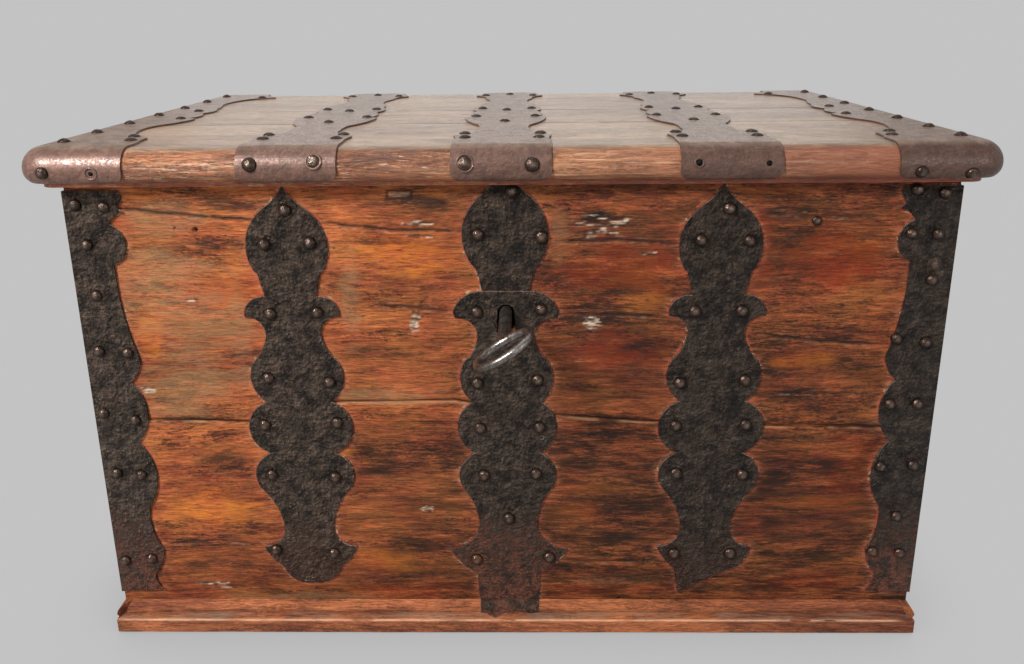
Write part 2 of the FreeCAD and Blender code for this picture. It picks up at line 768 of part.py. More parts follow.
for name, axis in STRAPS:
    centre = size(axis)
    width = size("lid_strap_width") / DRAWN_STRAP
    deep = size("body_depth") / DRAWN_DEPTH
    half_wrap = size("wrap_width") / 2
    half_hinge = size("hinge_width") / 2
    front = -HALF_DEPTH - size("lid_front") - FAR
    right = [(centre + half_wrap, front)]
    right += [(centre + half * width, y * deep, *[-b for b in bulge]) for half, y, *bulge in LID_EDGE]
    right += [(centre + half_hinge, HALF_DEPTH - 1), (centre + half_hinge, HALF_DEPTH + FAR)]
    left = [(2 * centre - x, y, bulge) for x, y, bulge in turned(right)]
    plan = plate("StrapPlan" + name, "XY", LID_UNDER, [right + left], PLAN_HEIGHT)
    window = wrap_window("StrapWindow" + name, centre - half_wrap, centre + half_wrap)
    over = common("StrapOver" + name, [skin, plan, window])
    inner = ((f"-{THIRD} / 2", f"{THIRD} / 2", HIGH_TONGUE),)
    joined = fuse("LidHinge" + name, [over] + knuckles("Lid" + name, axis, inner))
    keep("lid_strap_" + name, cut("BoredStrap" + name, joined, hinge_bore("LidBore" + name, axis)))

for name, side in (("left", -1), ("right", 1)):
    edge = HALF_WIDTH + size("lid_side")
    width = size("end_strap") / DRAWN_END
    deep = size("body_depth") / DRAWN_DEPTH
    front = -HALF_DEPTH - size("lid_front") - FAR
    wrap = edge - END_EDGE[0][0] * width
    rows = [(side * wrap, front)]
    for far, y, *bulge in END_EDGE:
        rows += [(side * (edge - far * width), y * deep, *[b * side for b in bulge])]
    rows += [(rows[-1][0], HALF_DEPTH), (side * (edge + FAR), HALF_DEPTH), (side * (edge + FAR), front)]
    plan = plate("EndPlan" + name, "XY", LID_UNDER, [rows], PLAN_HEIGHT)
    span = sorted((side * wrap, side * (edge + 4 * FAR)))
    over = common("EndOver" + name, [skin, plan, wrap_window("EndWindow" + name, *span)])
    keep("lid_end_strap_" + name, over)

# ---------------------------------------------------------------- lock

PLATE_FACE = f"({INSIDE_FRONT} + lock_plate)"
BOLT_FRONT = f"({PLATE_FACE} + lock_room)"
BOLT_BACK = f"({BOLT_FRONT} + bolt_thick)"
BAR_LOW = "(key_height + bit_reach * 0.58)"
LOCK_TOP = "(rim_height - 6)"
PLATE_Y = -HALF_DEPTH + WALL + size("lock_plate")
BOLT_Y = PLATE_Y + size("lock_room")
LOCK_LEFT = KEY_X - size("lock_left")
LOCK_RIGHT = KEY_X + size("lock_right")
REACH = size("bit_reach")
BAR_Z = KEY_Z + REACH * 0.58
BAR_TOP = BAR_Z + size("bolt_bar")
HASP_FOOT = LID_LOW - size("hasp_drop")
HEAD_LOW = HASP_FOOT + 8
HEAD_TOP = HEAD_LOW + size("bolt_bar")

LOCK_LOW = KEY_Z - size("lock_foot")
lock_corners = 10
lock_outline = [
    (LOCK_LEFT, LOCK_LOW + lock_corners, -lock_corners * 0.29),
    (LOCK_LEFT + lock_corners, LOCK_LOW),
    (LOCK_RIGHT - lock_corners, LOCK_LOW, -lock_corners * 0.29),
    (LOCK_RIGHT, LOCK_LOW + lock_corners),
    (LOCK_RIGHT, RIM - 6),
    (LOCK_LEFT, RIM - 6),
]
keep("lock_plate", plate("LockPlate", "XZ", PLATE_FACE, [lock_outline, keyhole()], "lock_plate"))

# The bolt at rest is drawn back to the right of the hasp: a bar with the notch that the bit enters, an
# arm that carries the motion up to the rim, and a head that points at the hasp's eye.
REST_TURN = math.radians(90 - size("key_angle"))
NOTCH_X = KEY_X + size("bolt_rate") * REST_TURN
NOTCH_HALF = size("bit_thick") / 2 + 5.5
NOTCH_TOP = KEY_Z + REACH + 2
THROW = 2 * size("bolt_rate") * REST_TURN
BAR_LEFT = NOTCH_X - size("bar_left")
BAR_RIGHT = NOTCH_X + size("bar_right")
ARM_LEFT = NOTCH_X + 34
ARM_RIGHT = ARM_LEFT + 20
HEAD_TIP = KEY_X + size("hasp_wide") / 2 + 3
bolt_outline = [
    (BAR_LEFT, BAR_Z),
    (BAR_LEFT, BAR_TOP),
    (ARM_LEFT, BAR_TOP),
    (ARM_LEFT, HEAD_LOW),
    (HEAD_TIP + 4, HEAD_LOW),
    (HEAD_TIP, HEAD_LOW + 4),
    (HEAD_TIP, HEAD_TOP - 4),
    (HEAD_TIP + 4, HEAD_TOP),
    (ARM_RIGHT, HEAD_TOP),
    (ARM_RIGHT, BAR_TOP),
    (BAR_RIGHT, BAR_TOP),
    (BAR_RIGHT, BAR_Z),
    (NOTCH_X + NOTCH_HALF + 2, BAR_Z),
    (NOTCH_X + NOTCH_HALF, BAR_Z + 2),
    (NOTCH_X + NOTCH_HALF, NOTCH_TOP),
    (NOTCH_X - NOTCH_HALF, NOTCH_TOP),
    (NOTCH_X - NOTCH_HALF, BAR_Z + 2),
    (NOTCH_X - NOTCH_HALF - 2, BAR_Z),
]
keep("lock_bolt", plate("LockBolt", "XZ", BOLT_BACK, [bolt_outline], "bolt_thick"))

# Two guides stand on the plate and run round the bar, clear of the bit's sweep and of the bolt's arm.
GUIDE_GAP = 0.5
for name, low in (("left", KEY_X - REACH - 12), ("right", ARM_RIGHT + 3)):
    outline = [
        (PLATE_Y, BAR_Z - 5),
        (BOLT_Y + size("bolt_thick") + 4, BAR_Z - 5, 0),
        (BOLT_Y + size("bolt_thick") + 4, BAR_TOP + 5),
        (PLATE_Y, BAR_TOP + 5),
    ]
    window = [
        (BOLT_Y - GUIDE_GAP, BAR_Z - GUIDE_GAP),
        (BOLT_Y + size("bolt_thick") + GUIDE_GAP, BAR_Z - GUIDE_GAP),
        (BOLT_Y + size("bolt_thick") + GUIDE_GAP, BAR_TOP + GUIDE_GAP),
        (BOLT_Y - GUIDE_GAP, BAR_TOP + GUIDE_GAP),
    ]
    keep("bolt_guide_" + name, plate("Guide" + name, "YZ", low, [outline, window], "8"))

# The bridge spans the key's sweep and holds the key's tip in its hole.
TIP_RADIUS = 4.0
TIP_PLAY = 0.06
BIT_START = PLATE_Y + 4
BIT_END = BIT_START + size("bit_width")
BRIDGE_Y = BIT_END + 3
BRIDGE_THICK = 3.0
BRIDGE_HALF = REACH + 10
BRIDGE_WIDE = 22.0
bridge_outline = [
    (KEY_X - BRIDGE_HALF - 12, PLATE_Y),
    (KEY_X - BRIDGE_HALF - 12, PLATE_Y + BRIDGE_THICK),
    (KEY_X - BRIDGE_HALF - BRIDGE_THICK + 1, PLATE_Y + BRIDGE_THICK),
    (KEY_X - BRIDGE_HALF - BRIDGE_THICK + 1, BRIDGE_Y + BRIDGE_THICK),
    (KEY_X + BRIDGE_HALF + BRIDGE_THICK - 1, BRIDGE_Y + BRIDGE_THICK),
    (KEY_X + BRIDGE_HALF + BRIDGE_THICK - 1, PLATE_Y + BRIDGE_THICK),
    (KEY_X + BRIDGE_HALF + 12, PLATE_Y + BRIDGE_THICK),
    (KEY_X + BRIDGE_HALF + 12, PLATE_Y),
    (KEY_X + BRIDGE_HALF - 1, PLATE_Y),
    (KEY_X + BRIDGE_HALF - 1, BRIDGE_Y),
    (KEY_X - BRIDGE_HALF + 1, BRIDGE_Y),
    (KEY_X - BRIDGE_HALF + 1, PLATE_Y),
]
bridge = plate("LockBridge", "XY", f"key_height - {BRIDGE_WIDE / 2 + 2}", [bridge_outline], BRIDGE_WIDE)
tip_hole = rod("TipHole", TIP_RADIUS + TIP_PLAY, "40", ("strap_centre", BRIDGE_Y - 10, "key_height"), "Y")
keep("lock_bridge", cut("BoredBridge", bridge, tip_hole))

# A flat spring presses on the bar from above; its foot is riveted to the plate.
SPRING_FOOT = KEY_X - size("spring_foot")
SPRING_RISE = 26.0
spring_outline = [
    (SPRING_FOOT + 4, BAR_TOP + SPRING_RISE),
    (SPRING_FOOT + 4, BAR_TOP + SPRING_RISE + 1.5, 0),
    (SPRING_FOOT + 22, BAR_TOP + SPRING_RISE + 1.5, -5),
    (KEY_X + 2, BAR_TOP + 2.0, 0),
    (KEY_X + 2, BAR_TOP + 0.5, 5),
    (SPRING_FOOT + 22, BAR_TOP + SPRING_RISE, 0),
]
spring_foot = [
    (SPRING_FOOT, BAR_TOP + SPRING_RISE - 6),
    (SPRING_FOOT, BAR_TOP + SPRING_RISE + 8),
    (SPRING_FOOT + 10, BAR_TOP + SPRING_RISE + 8),
    (SPRING_FOOT + 10, BAR_TOP + SPRING_RISE - 6),
]
spring = doc.addObject("PartDesign::Body", "LockSpring")
pad(spring, draw(spring, "XZ", BOLT_BACK, [spring_outline]), "bolt_thick")
pad(spring, draw(spring, "XZ", BOLT_BACK, [spring_foot]), "bolt_thick + lock_room")
keep("lock_spring", spring)

# The hasp hangs from the lid: a plate under the boards and an eye that the bolt's head enters.
HASP_FRONT = BOLT_Y - 5
HASP_BACK = BOLT_Y + size("bolt_thick") + 5
hasp_eye = [
    (HASP_FRONT, LID_LOW - 3),
    (HASP_FRONT, HASP_FOOT + 5, -2),
    (HASP_FRONT + 5, HASP_FOOT, 0),
    (HASP_BACK - 5, HASP_FOOT, -2),
    (HASP_BACK, HASP_FOOT + 5),
    (HASP_BACK, LID_LOW - 3),
]
hasp_window = [
    (BOLT_Y - 1, HEAD_LOW - 2.5),
    (BOLT_Y + size("bolt_thick") + 1, HEAD_LOW - 2.5),
    (BOLT_Y + size("bolt_thick") + 1, HEAD_TOP + 2.5),
    (BOLT_Y - 1, HEAD_TOP + 2.5),
]
eye = plate("HaspEye", "YZ", "strap_centre - hasp_wide / 2", [hasp_eye, hasp_window], "hasp_wide")
hasp_plate = block(
    "HaspPlate",
    ("strap_centre - 34", "strap_centre + 34"),
    (HASP_FRONT, f"{HASP_BACK} + 22"),
    (f"{LID_UNDER} - 3", LID_UNDER),
)
keep("lid_hasp", fuse("Hasp", [eye, hasp_plate]))

# ---------------------------------------------------------------- key

# The key lies along Y with its bit and bow in one plane; it is made with that plane level, then turned.
FACE = -HALF_DEPTH - IRON
BOW_Y = -HALF_DEPTH - size("bow_out")
SHANK_END = BOW_Y + size("bow_length") / 2 - size("bow_rod") - 1
shank = size("shank_radius")
shank_rows = [
    (0, SHANK_END),
    (shank * 0.7, SHANK_END),
    (shank, SHANK_END + 9),
    (shank, BIT_END),
    (TIP_RADIUS, BIT_END),
    (TIP_RADIUS, BRIDGE_Y + BRIDGE_THICK + 2),
    (0, BRIDGE_Y + BRIDGE_THICK + 2),
]
key_body = doc.addObject("PartDesign::Body", "KeyShank")
shank_sketch = draw(key_body, "XY", "0", [shank_rows])
turn_shank = key_body.newObject("PartDesign::Revolution", "KeyShankTurned")
turn_shank.Profile = shank_sketch
turn_shank.ReferenceAxis = (shank_sketch, ["V_Axis"])
turn_shank.Angle = 360
key_body.Tip = turn_shank
WARD = 5.0
bit_rows = [
    (0, BIT_START),
    (REACH, BIT_START),
    (REACH, BIT_START + 6),
    (REACH - WARD, BIT_START + 6),
    (REACH - WARD, BIT_START + 8.5),
    (REACH, BIT_START + 8.5),
    (REACH, BIT_END),
    (0, BIT_END),
]
pad(key_body, draw(key_body, "XY", "-bit_thick / 2", [bit_rows]), "bit_thick")
doc.recompute()


def eight_sided(middle, across, up, radius):
    """The section of a bar that was forged round and kept eight flats, corners at the radius."""
    corners = []
    for number in range(9):
        angle = math.radians(22.5 + 45 * number)
        corners.append(middle + across * (radius * math.cos(angle)) + up * (radius * math.sin(angle)))
    return Part.makePolygon(corners)


def oval_ring(half_width, half_length, middle_y, radius):
    """A bar bent to an oval: four tangent arcs, large ones front and back, small ones at the ends."""
    small = half_length * 0.62
    offset = half_width - small
    large = (offset**2 + half_length**2 - small**2) / (2 * (half_length - small))
    depth = large - half_length
    lean = math.atan2(depth, offset)
    joint_x = offset + small * math.cos(lean)
    joint_y = small * math.sin(lean)

    def at(x, y):
        return Vec(x, middle_y + y, 0)

    arcs = [
        Part.Arc(at(-joint_x, joint_y), at(0, half_length), at(joint_x, joint_y)),
        Part.Arc(at(joint_x, joint_y), at(half_width, 0), at(joint_x, -joint_y)),
        Part.Arc(at(joint_x, -joint_y), at(0, -half_length), at(-joint_x, -joint_y)),
        Part.Arc(at(-joint_x, -joint_y), at(-half_width, 0), at(-joint_x, joint_y)),
    ]
    path = Part.Wire([arc.toShape() for arc in arcs])
    tangent = arcs[0].tangent(arcs[0].FirstParameter)[0]
    level = Vec(0, 0, 1)
    section = eight_sided(at(-joint_x, joint_y), tangent.cross(level), level, radius)
    return path.makePipeShell([section], True, True)


bow = doc.addObject("Part::Feature", "KeyBow")
bow.Shape = oval_ring(
    size("bow_width") / 2 - size("bow_rod"), size("bow_length") / 2 - size("bow_rod"), BOW_Y, size("bow_rod")
)
key_level = fuse("KeyLevel", [key_body, bow])
doc.recompute()
key = doc.addObject("Part::Feature", "Key")
key.Shape = key_level.Shape.copy()
key.Placement = FreeCAD.Placement(Vec(KEY_X, 0, KEY_Z), FreeCAD.Rotation(Vec(0, 1, 0), -size("key_angle")))
keep("key", key)

# ---------------------------------------------------------------- carrying handles

PIVOT_OUT = size("iron") + size("eye_radius")
SPAN = size("handle_span") / 2
ROD = size("handle_rod")
DROP = size("handle_drop")
EYE = size("eye_length")
SHOULDER = ROD + 5
SHOULDER_BEND = 6.0
GRIP_BEND = 16.0


def bail():
    """The handle in the YZ plane, hanging down: an eight-sided bar bent at cut corners, forged round where
    its two ends turn in the eyes."""
    arm = SPAN - EYE - 4 - SHOULDER
    half = [(-SPAN, 0), (-arm - SHOULDER_BEND, 0), (-arm, -SHOULDER_BEND)]
    half += [(-arm, GRIP_BEND - DROP), (GRIP_BEND - arm, -DROP)]
    course = half + [(-y, z) for y, z in reversed(half)]
    path = Part.makePolygon([Vec(0, y, z) for y, z in course])
    section = eight_sided(Vec(0, -SPAN, 0), Vec(1, 0, 0), Vec(0, 0, 1), ROD)
    bar = path.makePipeShell([section], True, False, 1)
    pivot = EYE + 3
    ends = [Part.makeCylinder(ROD, pivot, Vec(0, y, 0), Vec(0, 1, 0)) for y in (-SPAN, SPAN - pivot)]
    return bar.fuse(ends)


PLATE_EDGE = [(0, 46), (14, 30), (30, 18), (30, -18), (14, -30), (0, -46)]
PLATE_EDGE += [(-14, -30), (-30, -18), (-30, 18), (-14, 30)]
for name, side in (("left", -1), ("right", 1)):
    axis_x = f"{side} * (body_width / 2 + iron + eye_radius)"
    handle = doc.addObject("Part::Feature", "Handle" + name)
    handle.Shape = bail()
    handle.Placement.Base = Vec(side * (HALF_WIDTH + PIVOT_OUT), 0, size("handle_height"))
    keep("handle_" + name, handle)
    face = LEFT if side < 0 else RIGHT
    for end, way in (("front", -1), ("back", 1)):
        middle = way * (SPAN - EYE / 2)
        leaf_rows = [(middle + y, size("handle_height") + z) for y, z in PLATE_EDGE]
        leaf = plate(f"Leaf{name}{end}", "YZ", face, [leaf_rows], "iron", against=side < 0)
        start = (axis_x, f"{way} * (handle_span / 2 - eye_length / 2) - eye_length / 2", "handle_height")
        ring = rod(f"Eye{name}{end}", "eye_radius", "eye_length", start, "Y")
        outward = [f"{face} + {way_out} * (iron + eye_radius)" for way_out in sorted((0, side))]
        root = block(
            f"EyeRoot{name}{end}",
            tuple(outward),
            (start[1], f"{start[1]} + eye_length"),
            ("handle_height - eye_radius * 0.8", "handle_height + eye_radius * 0.8"),
        )
        bore_start = (axis_x, f"{start[1]} - eye_length", "handle_height")
        bore = rod(f"EyeBore{name}{end}", "handle_rod + handle_play", "4 * eye_length", bore_start, "Y")
        joined = fuse(f"Mount{name}{end}", [leaf, ring, root])
        keep(f"handle_mount_{name}_{end}", cut(f"BoredMount{name}{end}", joined, bore))

# ---------------------------------------------------------------- check and write

doc.recompute()
for thing in doc.Objects:
    if "Invalid" in thing.State or "Error" in thing.State:
        raise RuntimeError(f"{thing.Name} ({thing.Label}) failed: {thing.State}")
for label, thing in SUBPARTS.items():
    if thing.Shape.isNull() or not thing.Shape.isValid() or not thing.Shape.Solids:
        raise RuntimeError(label + ": no valid solid")
    thing.Shape.exportStep(f"parts/{label}.step")
print(len(SUBPARTS), "pieces; bolt throw", round(THROW, 2), "mm")
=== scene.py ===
# %% [markdown]
# # An iron-bound oak chest
# The exact solids of the chest come in as a fixed frame. This notebook gives them their looks: aged oak
# that still carries red paint, pitted forged iron, worn rivets, a front face with cracks and chips, then a
# floor, soft light and a camera. Lengths are metres; the name MM turns millimetres into metres. Places on
# the front are written in millimetres from the middle of the chest and up from the floor.

# %% Load the frame
import math
from functools import partial

import bmesh
import bpy
import numpy as np
from mathutils import Matrix, Vector
from mathutils.kdtree import KDTree


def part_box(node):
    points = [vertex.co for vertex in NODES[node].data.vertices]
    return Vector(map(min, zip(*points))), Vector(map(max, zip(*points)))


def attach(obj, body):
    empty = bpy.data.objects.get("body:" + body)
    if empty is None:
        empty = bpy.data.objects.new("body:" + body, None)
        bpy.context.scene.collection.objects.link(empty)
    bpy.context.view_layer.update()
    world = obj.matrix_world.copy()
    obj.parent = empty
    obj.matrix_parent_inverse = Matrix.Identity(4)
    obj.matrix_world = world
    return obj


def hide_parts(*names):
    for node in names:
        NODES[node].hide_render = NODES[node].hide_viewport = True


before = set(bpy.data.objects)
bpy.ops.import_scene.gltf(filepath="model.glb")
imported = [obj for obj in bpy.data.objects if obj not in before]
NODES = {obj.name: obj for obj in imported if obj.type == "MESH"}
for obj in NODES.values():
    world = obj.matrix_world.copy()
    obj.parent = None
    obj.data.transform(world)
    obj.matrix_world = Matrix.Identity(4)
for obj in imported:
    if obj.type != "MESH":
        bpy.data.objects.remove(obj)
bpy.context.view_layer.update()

MM = 0.001
BOARD_LOW, BOARD_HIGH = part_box("front_board_upper")
BOX_LEFT, FRONT_Y = BOARD_LOW.x, BOARD_LOW.y
BOX_RIGHT, RIM = BOARD_HIGH.x, BOARD_HIGH.z
BACK_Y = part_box("back_board_upper")[1].y
BASE_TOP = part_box("front_board_lower")[0].z
NOSE_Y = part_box("lid_board_front")[0].y
LID_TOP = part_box("lid_board_front")[1].z
LID_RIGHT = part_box("lid_board_back")[1].x
IRON = FRONT_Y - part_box("front_strap_left")[0].y


def middle_x(name):
    """The place across the chest of a node's middle."""
    return sum(corner.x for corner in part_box(name)) / 2


print(len(NODES), "nodes; the box is", round((BOX_RIGHT - BOX_LEFT) / MM), "mm wide")

# %% [markdown]
# ## Colours and shader nodes
# Colours are written as sRGB codes and turned linear by one function. `add_node` makes one shader node
# with its settings and links. Tied to the tree of one material it is called `add`, so that a material
# reads as a list of steps. The short names stand for settings that many nodes share: a sum, a product, a
# smooth ramp. A coat of colour is laid over another where some pattern or mask says so, and that step is a
# function of its own.

# %% Node helpers
PLUS, MINUS, TIMES = {"operation": "ADD"}, {"operation": "SUBTRACT"}, {"operation": "MULTIPLY"}
TIMES_PLUS = {"operation": "MULTIPLY_ADD"}
RAMP = {"interpolation_type": "SMOOTHSTEP"}


def linear(code):
    """A #rrggbb code as linear red, green, blue and alpha."""
    parts = [int(code[i : i + 2], 16) / 255 for i in (1, 3, 5)]
    return (*[c / 12.92 if c <= 0.04045 else ((c + 0.055) / 1.055) ** 2.4 for c in parts], 1.0)


def add_node(tree, kind, *values, out=0, **more):
    """One shader node with its settings and links; the answer is one of its outputs. Values go to the
    inputs in the order in which Blender shows them. In more, a name with a capital is an input (an
    underscore stands for a space) and any other name is a setting. A value is a number, a colour code or
    another node's output."""
    node = tree.nodes.new("ShaderNode" + kind)
    for name, value in more.items():
        if name[0].islower():
            setattr(node, name, value)
    chosen = list(zip([socket for socket in node.inputs if socket.enabled], values))
    chosen += [(node.inputs[name.replace("_", " ")], more[name]) for name in more if name[0].isupper()]
    for socket, value in chosen:
        if isinstance(value, bpy.types.NodeSocket):
            tree.links.new(value, socket)
        else:
            socket.default_value = linear(value) if isinstance(value, str) else value
    shown = [socket for socket in node.outputs if socket.enabled]
    return node.outputs[out] if isinstance(out, str) else (shown + [None])[out]


def emptied(owner):
    """A material or world without its first nodes, and the function that adds new ones to it."""
    owner.use_nodes = True
    owner.node_tree.nodes.clear()
    return owner, partial(add_node, owner.node_tree)


def coat(add, colour, tone, *shares):
    """A tone laid over a colour. How much of it shows is the product of the shares. A share written as
    (source, low, high, least, most) rises smoothly from least to most, or from 0 to 1, as its source goes
    from low to high."""
    shares = [add("MapRange", *share, **RAMP) if isinstance(share, tuple) else share for share in shares]
    total = shares[0]
    for share in shares[1:]:
        total = add("Math", total, share, **TIMES)
    return add("Mix", total, colour, tone, data_type="RGBA")


# %% [markdown]
# ## Oak
# Quarter-sawn oak, planed by hand and stained, then handled for two centuries. Everything runs along the
# grain: broad patches of tone, clusters of dark streaks, orange strands between them, and ridges 2 to 3 mm
# apart where the soft wood has worn away. The coordinates wander a little before they are used, which
# keeps the lines from being ruled. Red paint survives as flecks. Oak's own pores are 0.2 mm wide, so they
# are drawn wider to show.
#
# A pattern is a line in a table: its cells per metre along and across the grain, its levels of detail and
# its roughness. The dashes, for one, have 52 cells a metre along the grain and 600 across it, so a dash is
# about 19 mm long and 1.7 mm wide.

# %% Oak materials
OAK_PATTERNS = {
    "dashes": (52, 600, 5, 0.78),
    "grit": (190, 520, 4, 0.75),
    "patches": (2.8, 11, 12, 0.72),
    "clusters": (5.5, 24, 12, 0.78),
    "strands": (17, 130, 10, 0.75),
    "flecks": (90, 260, 5, 0.75),
    "painted": (6, 12, 3, 0.55),
    "scrapes": (38, 420, 5, 0.75),
    "handled": (5, 16, 2, 0.55),
    "ridges": (26, 380, 6, 0.78),
    "pores": (80, 1100, 2, 0.5),
}
# The pattern by which the coordinates wander, and how far a full swing of it would carry them.
WANDER, WANDER_REACH = (2.2, 9, 2, 0.55), 30 * MM


def oak(name, along, tones, paint=0.3, streaks=1.0, scuffs=0.25, rough=0.5, shine=0.2, top=None,
        patterns=(), details=None):
    """Oak with its grain along axis 0 (X) or 1 (Y). tones are light, deep, dark, paint and scuff colours.
    top is a second pair of light and deep tones for faces that look up, greyed by wear and dust and paler as
    a painted sheen. details is a function that takes the colour further, with more patterns of its own."""
    light, deep, dark, red, pale = tones
    material, add = emptied(bpy.data.materials.new(name))

    def pattern(place, along_cells, across_cells, detail, roughness):
        cells = [along_cells if axis == along else across_cells for axis in range(3)]
        return add("TexNoise", add("Mapping", place, Scale=cells), 1, detail, roughness)

    place = add("TexCoord", out="Object")
    drift = add("Math", pattern(place, *WANDER), 0.5, **MINUS)
    sway = add("CombineXYZ", **{"XY"[1 - along]: drift, "Z": drift})
    place = add("VectorMath", place, add("VectorMath", sway, WANDER_REACH, operation="SCALE"), **PLUS)
    field = {key: pattern(place, *numbers) for key, numbers in (OAK_PATTERNS | dict(patterns)).items()}
    field["place"] = place
    dashes, ridges = field["dashes"], field["ridges"]

    patches = add("Math", dashes, 0.3, field["patches"], **TIMES_PLUS)
    patches = add("MapRange", patches, 0.56, 0.74, **RAMP)
    colour = coat(add, deep, light, patches)
    strength = streaks
    # Faces that look up: greyer from dust and wear, and paler as a painted sheen of the low light across
    # them.
    if top:
        facing_up = add("SeparateXYZ", add("TexCoord", out="Normal"), out=2)
        facing_up = add("MapRange", facing_up, 0.78, 0.995, **RAMP)
        colour = coat(add, colour, coat(add, top[1], top[0], patches), facing_up)
        strength = add("Math", facing_up, -0.8 * streaks, streaks, **TIMES_PLUS)

    gritty = add("Math", field["grit"], 0.3, add("Math", dashes, 0.45, **TIMES), **TIMES_PLUS)
    strands = add("Math", field["strands"], gritty, **PLUS)
    cluster = add("MapRange", add("Math", field["clusters"], gritty, **PLUS), 0.89, 0.98, 0, 0.85, **RAMP)
    colour = coat(add, colour, dark, cluster, strength)
    colour = coat(add, colour, dark, (strands, 0.9, 1.0, 0, 0.65), strength)
    colour = coat(add, colour, light, (strands, 0.86, 0.76, 0, 0.55), strength)
    colour = coat(add, colour, red, (field["flecks"], 0.57, 0.63), (field["painted"], 0.45, 0.62, 0, paint))
    colour = coat(add, colour, pale, (field["scrapes"], 0.6, 0.68), (field["handled"], 0.5, 0.66, 0, scuffs))

    pores = add("MapRange", field["pores"], 0.56, 0.68, **RAMP)
    value = add("Math", dashes, 0.6, ridges, **TIMES_PLUS)
    value = add("MapRange", value, 0.64, 0.96, 0.62, 1.34, **RAMP)
    value = add("Math", pores, -0.24, value, **TIMES_PLUS)
    colour = add("HueSaturation", Value=value, Color=colour)
    if details:
        colour = details(add, field, colour)

    relief = add("Math", dashes, 0.8, ridges, **TIMES_PLUS)
    relief = add("Math", pores, -0.35, relief, **TIMES_PLUS)
    relief = add("Math", cluster, -0.3, relief, **TIMES_PLUS)
    bump = add("Bump", Strength=0.9, Distance=1.4 * MM, Height=relief)
    rough = add("MapRange", ridges, 0.3, 0.7, rough + 0.12, rough - 0.08, **RAMP)
    shader = add("BsdfPrincipled", Base_Color=colour, Roughness=rough, Specular_IOR_Level=shine, Normal=bump)
    add("OutputMaterial", Surface=shader)
    return material


FRONT_TONES = ("#A85E36", "#7A3E24", "#28130B", "#C0462A", "#C9A58A")
END_TONES = ("#96603C", "#6E4028", "#301A10", "#A8442C", "#B8947A")
LID_TONES = ("#A46A42", "#744428", "#34190F", "#B4442A", "#E2C8AE")
BASE_TONES = ("#A8623C", "#743E28", "#381B13", "#A44229", "#C09472")
INSIDE_TONES = ("#94704C", "#745438", "#3E2C1E", "#7E5238", "#B0906C")
# The lid's top: greyed by dust and wear, and paler as a painted sheen.
LID_TOP_DUST_AND_SHEEN_TONES = ("#A28468", "#846A54")

OAK_ENDS = oak("aged oak, ends", 1, END_TONES)
OAK_BACK = oak("aged oak, back", 0, END_TONES, paint=0.15)
OAK_BASE = oak("aged oak, base along X", 0, BASE_TONES, streaks=0.6, scuffs=0.2)
OAK_BASE_SIDES = oak("aged oak, base along Y", 1, BASE_TONES, streaks=0.6, scuffs=0.2)
OAK_INSIDE = oak("raw oak, floor and till", 0, INSIDE_TONES, paint=0.0, streaks=0.6, rough=0.65)
OAK_TILL = oak("raw oak, till side", 1, INSIDE_TONES, paint=0.0, streaks=0.6, rough=0.65)
print("oak finishes:", len(bpy.data.materials))

# %% [markdown]
# The lid's boards are greyer on top from dust and wear, and paler there as a painted sheen, with two knots
# and open joints between the boards. A knot is an ellipse worked out from the object coordinates, with a
# dark ring where the bark was. The front edge is rubbed pale, is painted lighter at its left end and darker
# at its right, where it also turns redder, and red paint is left along its foot.

# %% Oak of the lid
# A knot's middle along X and Y and its half length and half width, in millimetres.
KNOTS = ((-132, -216, 36, 9), (59, -254, 22, 10))
LID_JOINTS = (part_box("lid_board_front")[1].y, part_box("lid_board_middle")[1].y)
PAINT_TOP = 607.5 * MM
LID_PATTERNS = {"ragged": (70, 240, 4, 0.6), "rubbed": (5, 30, 4, 0.55), "lines": (14, 330, 6, 0.75)}


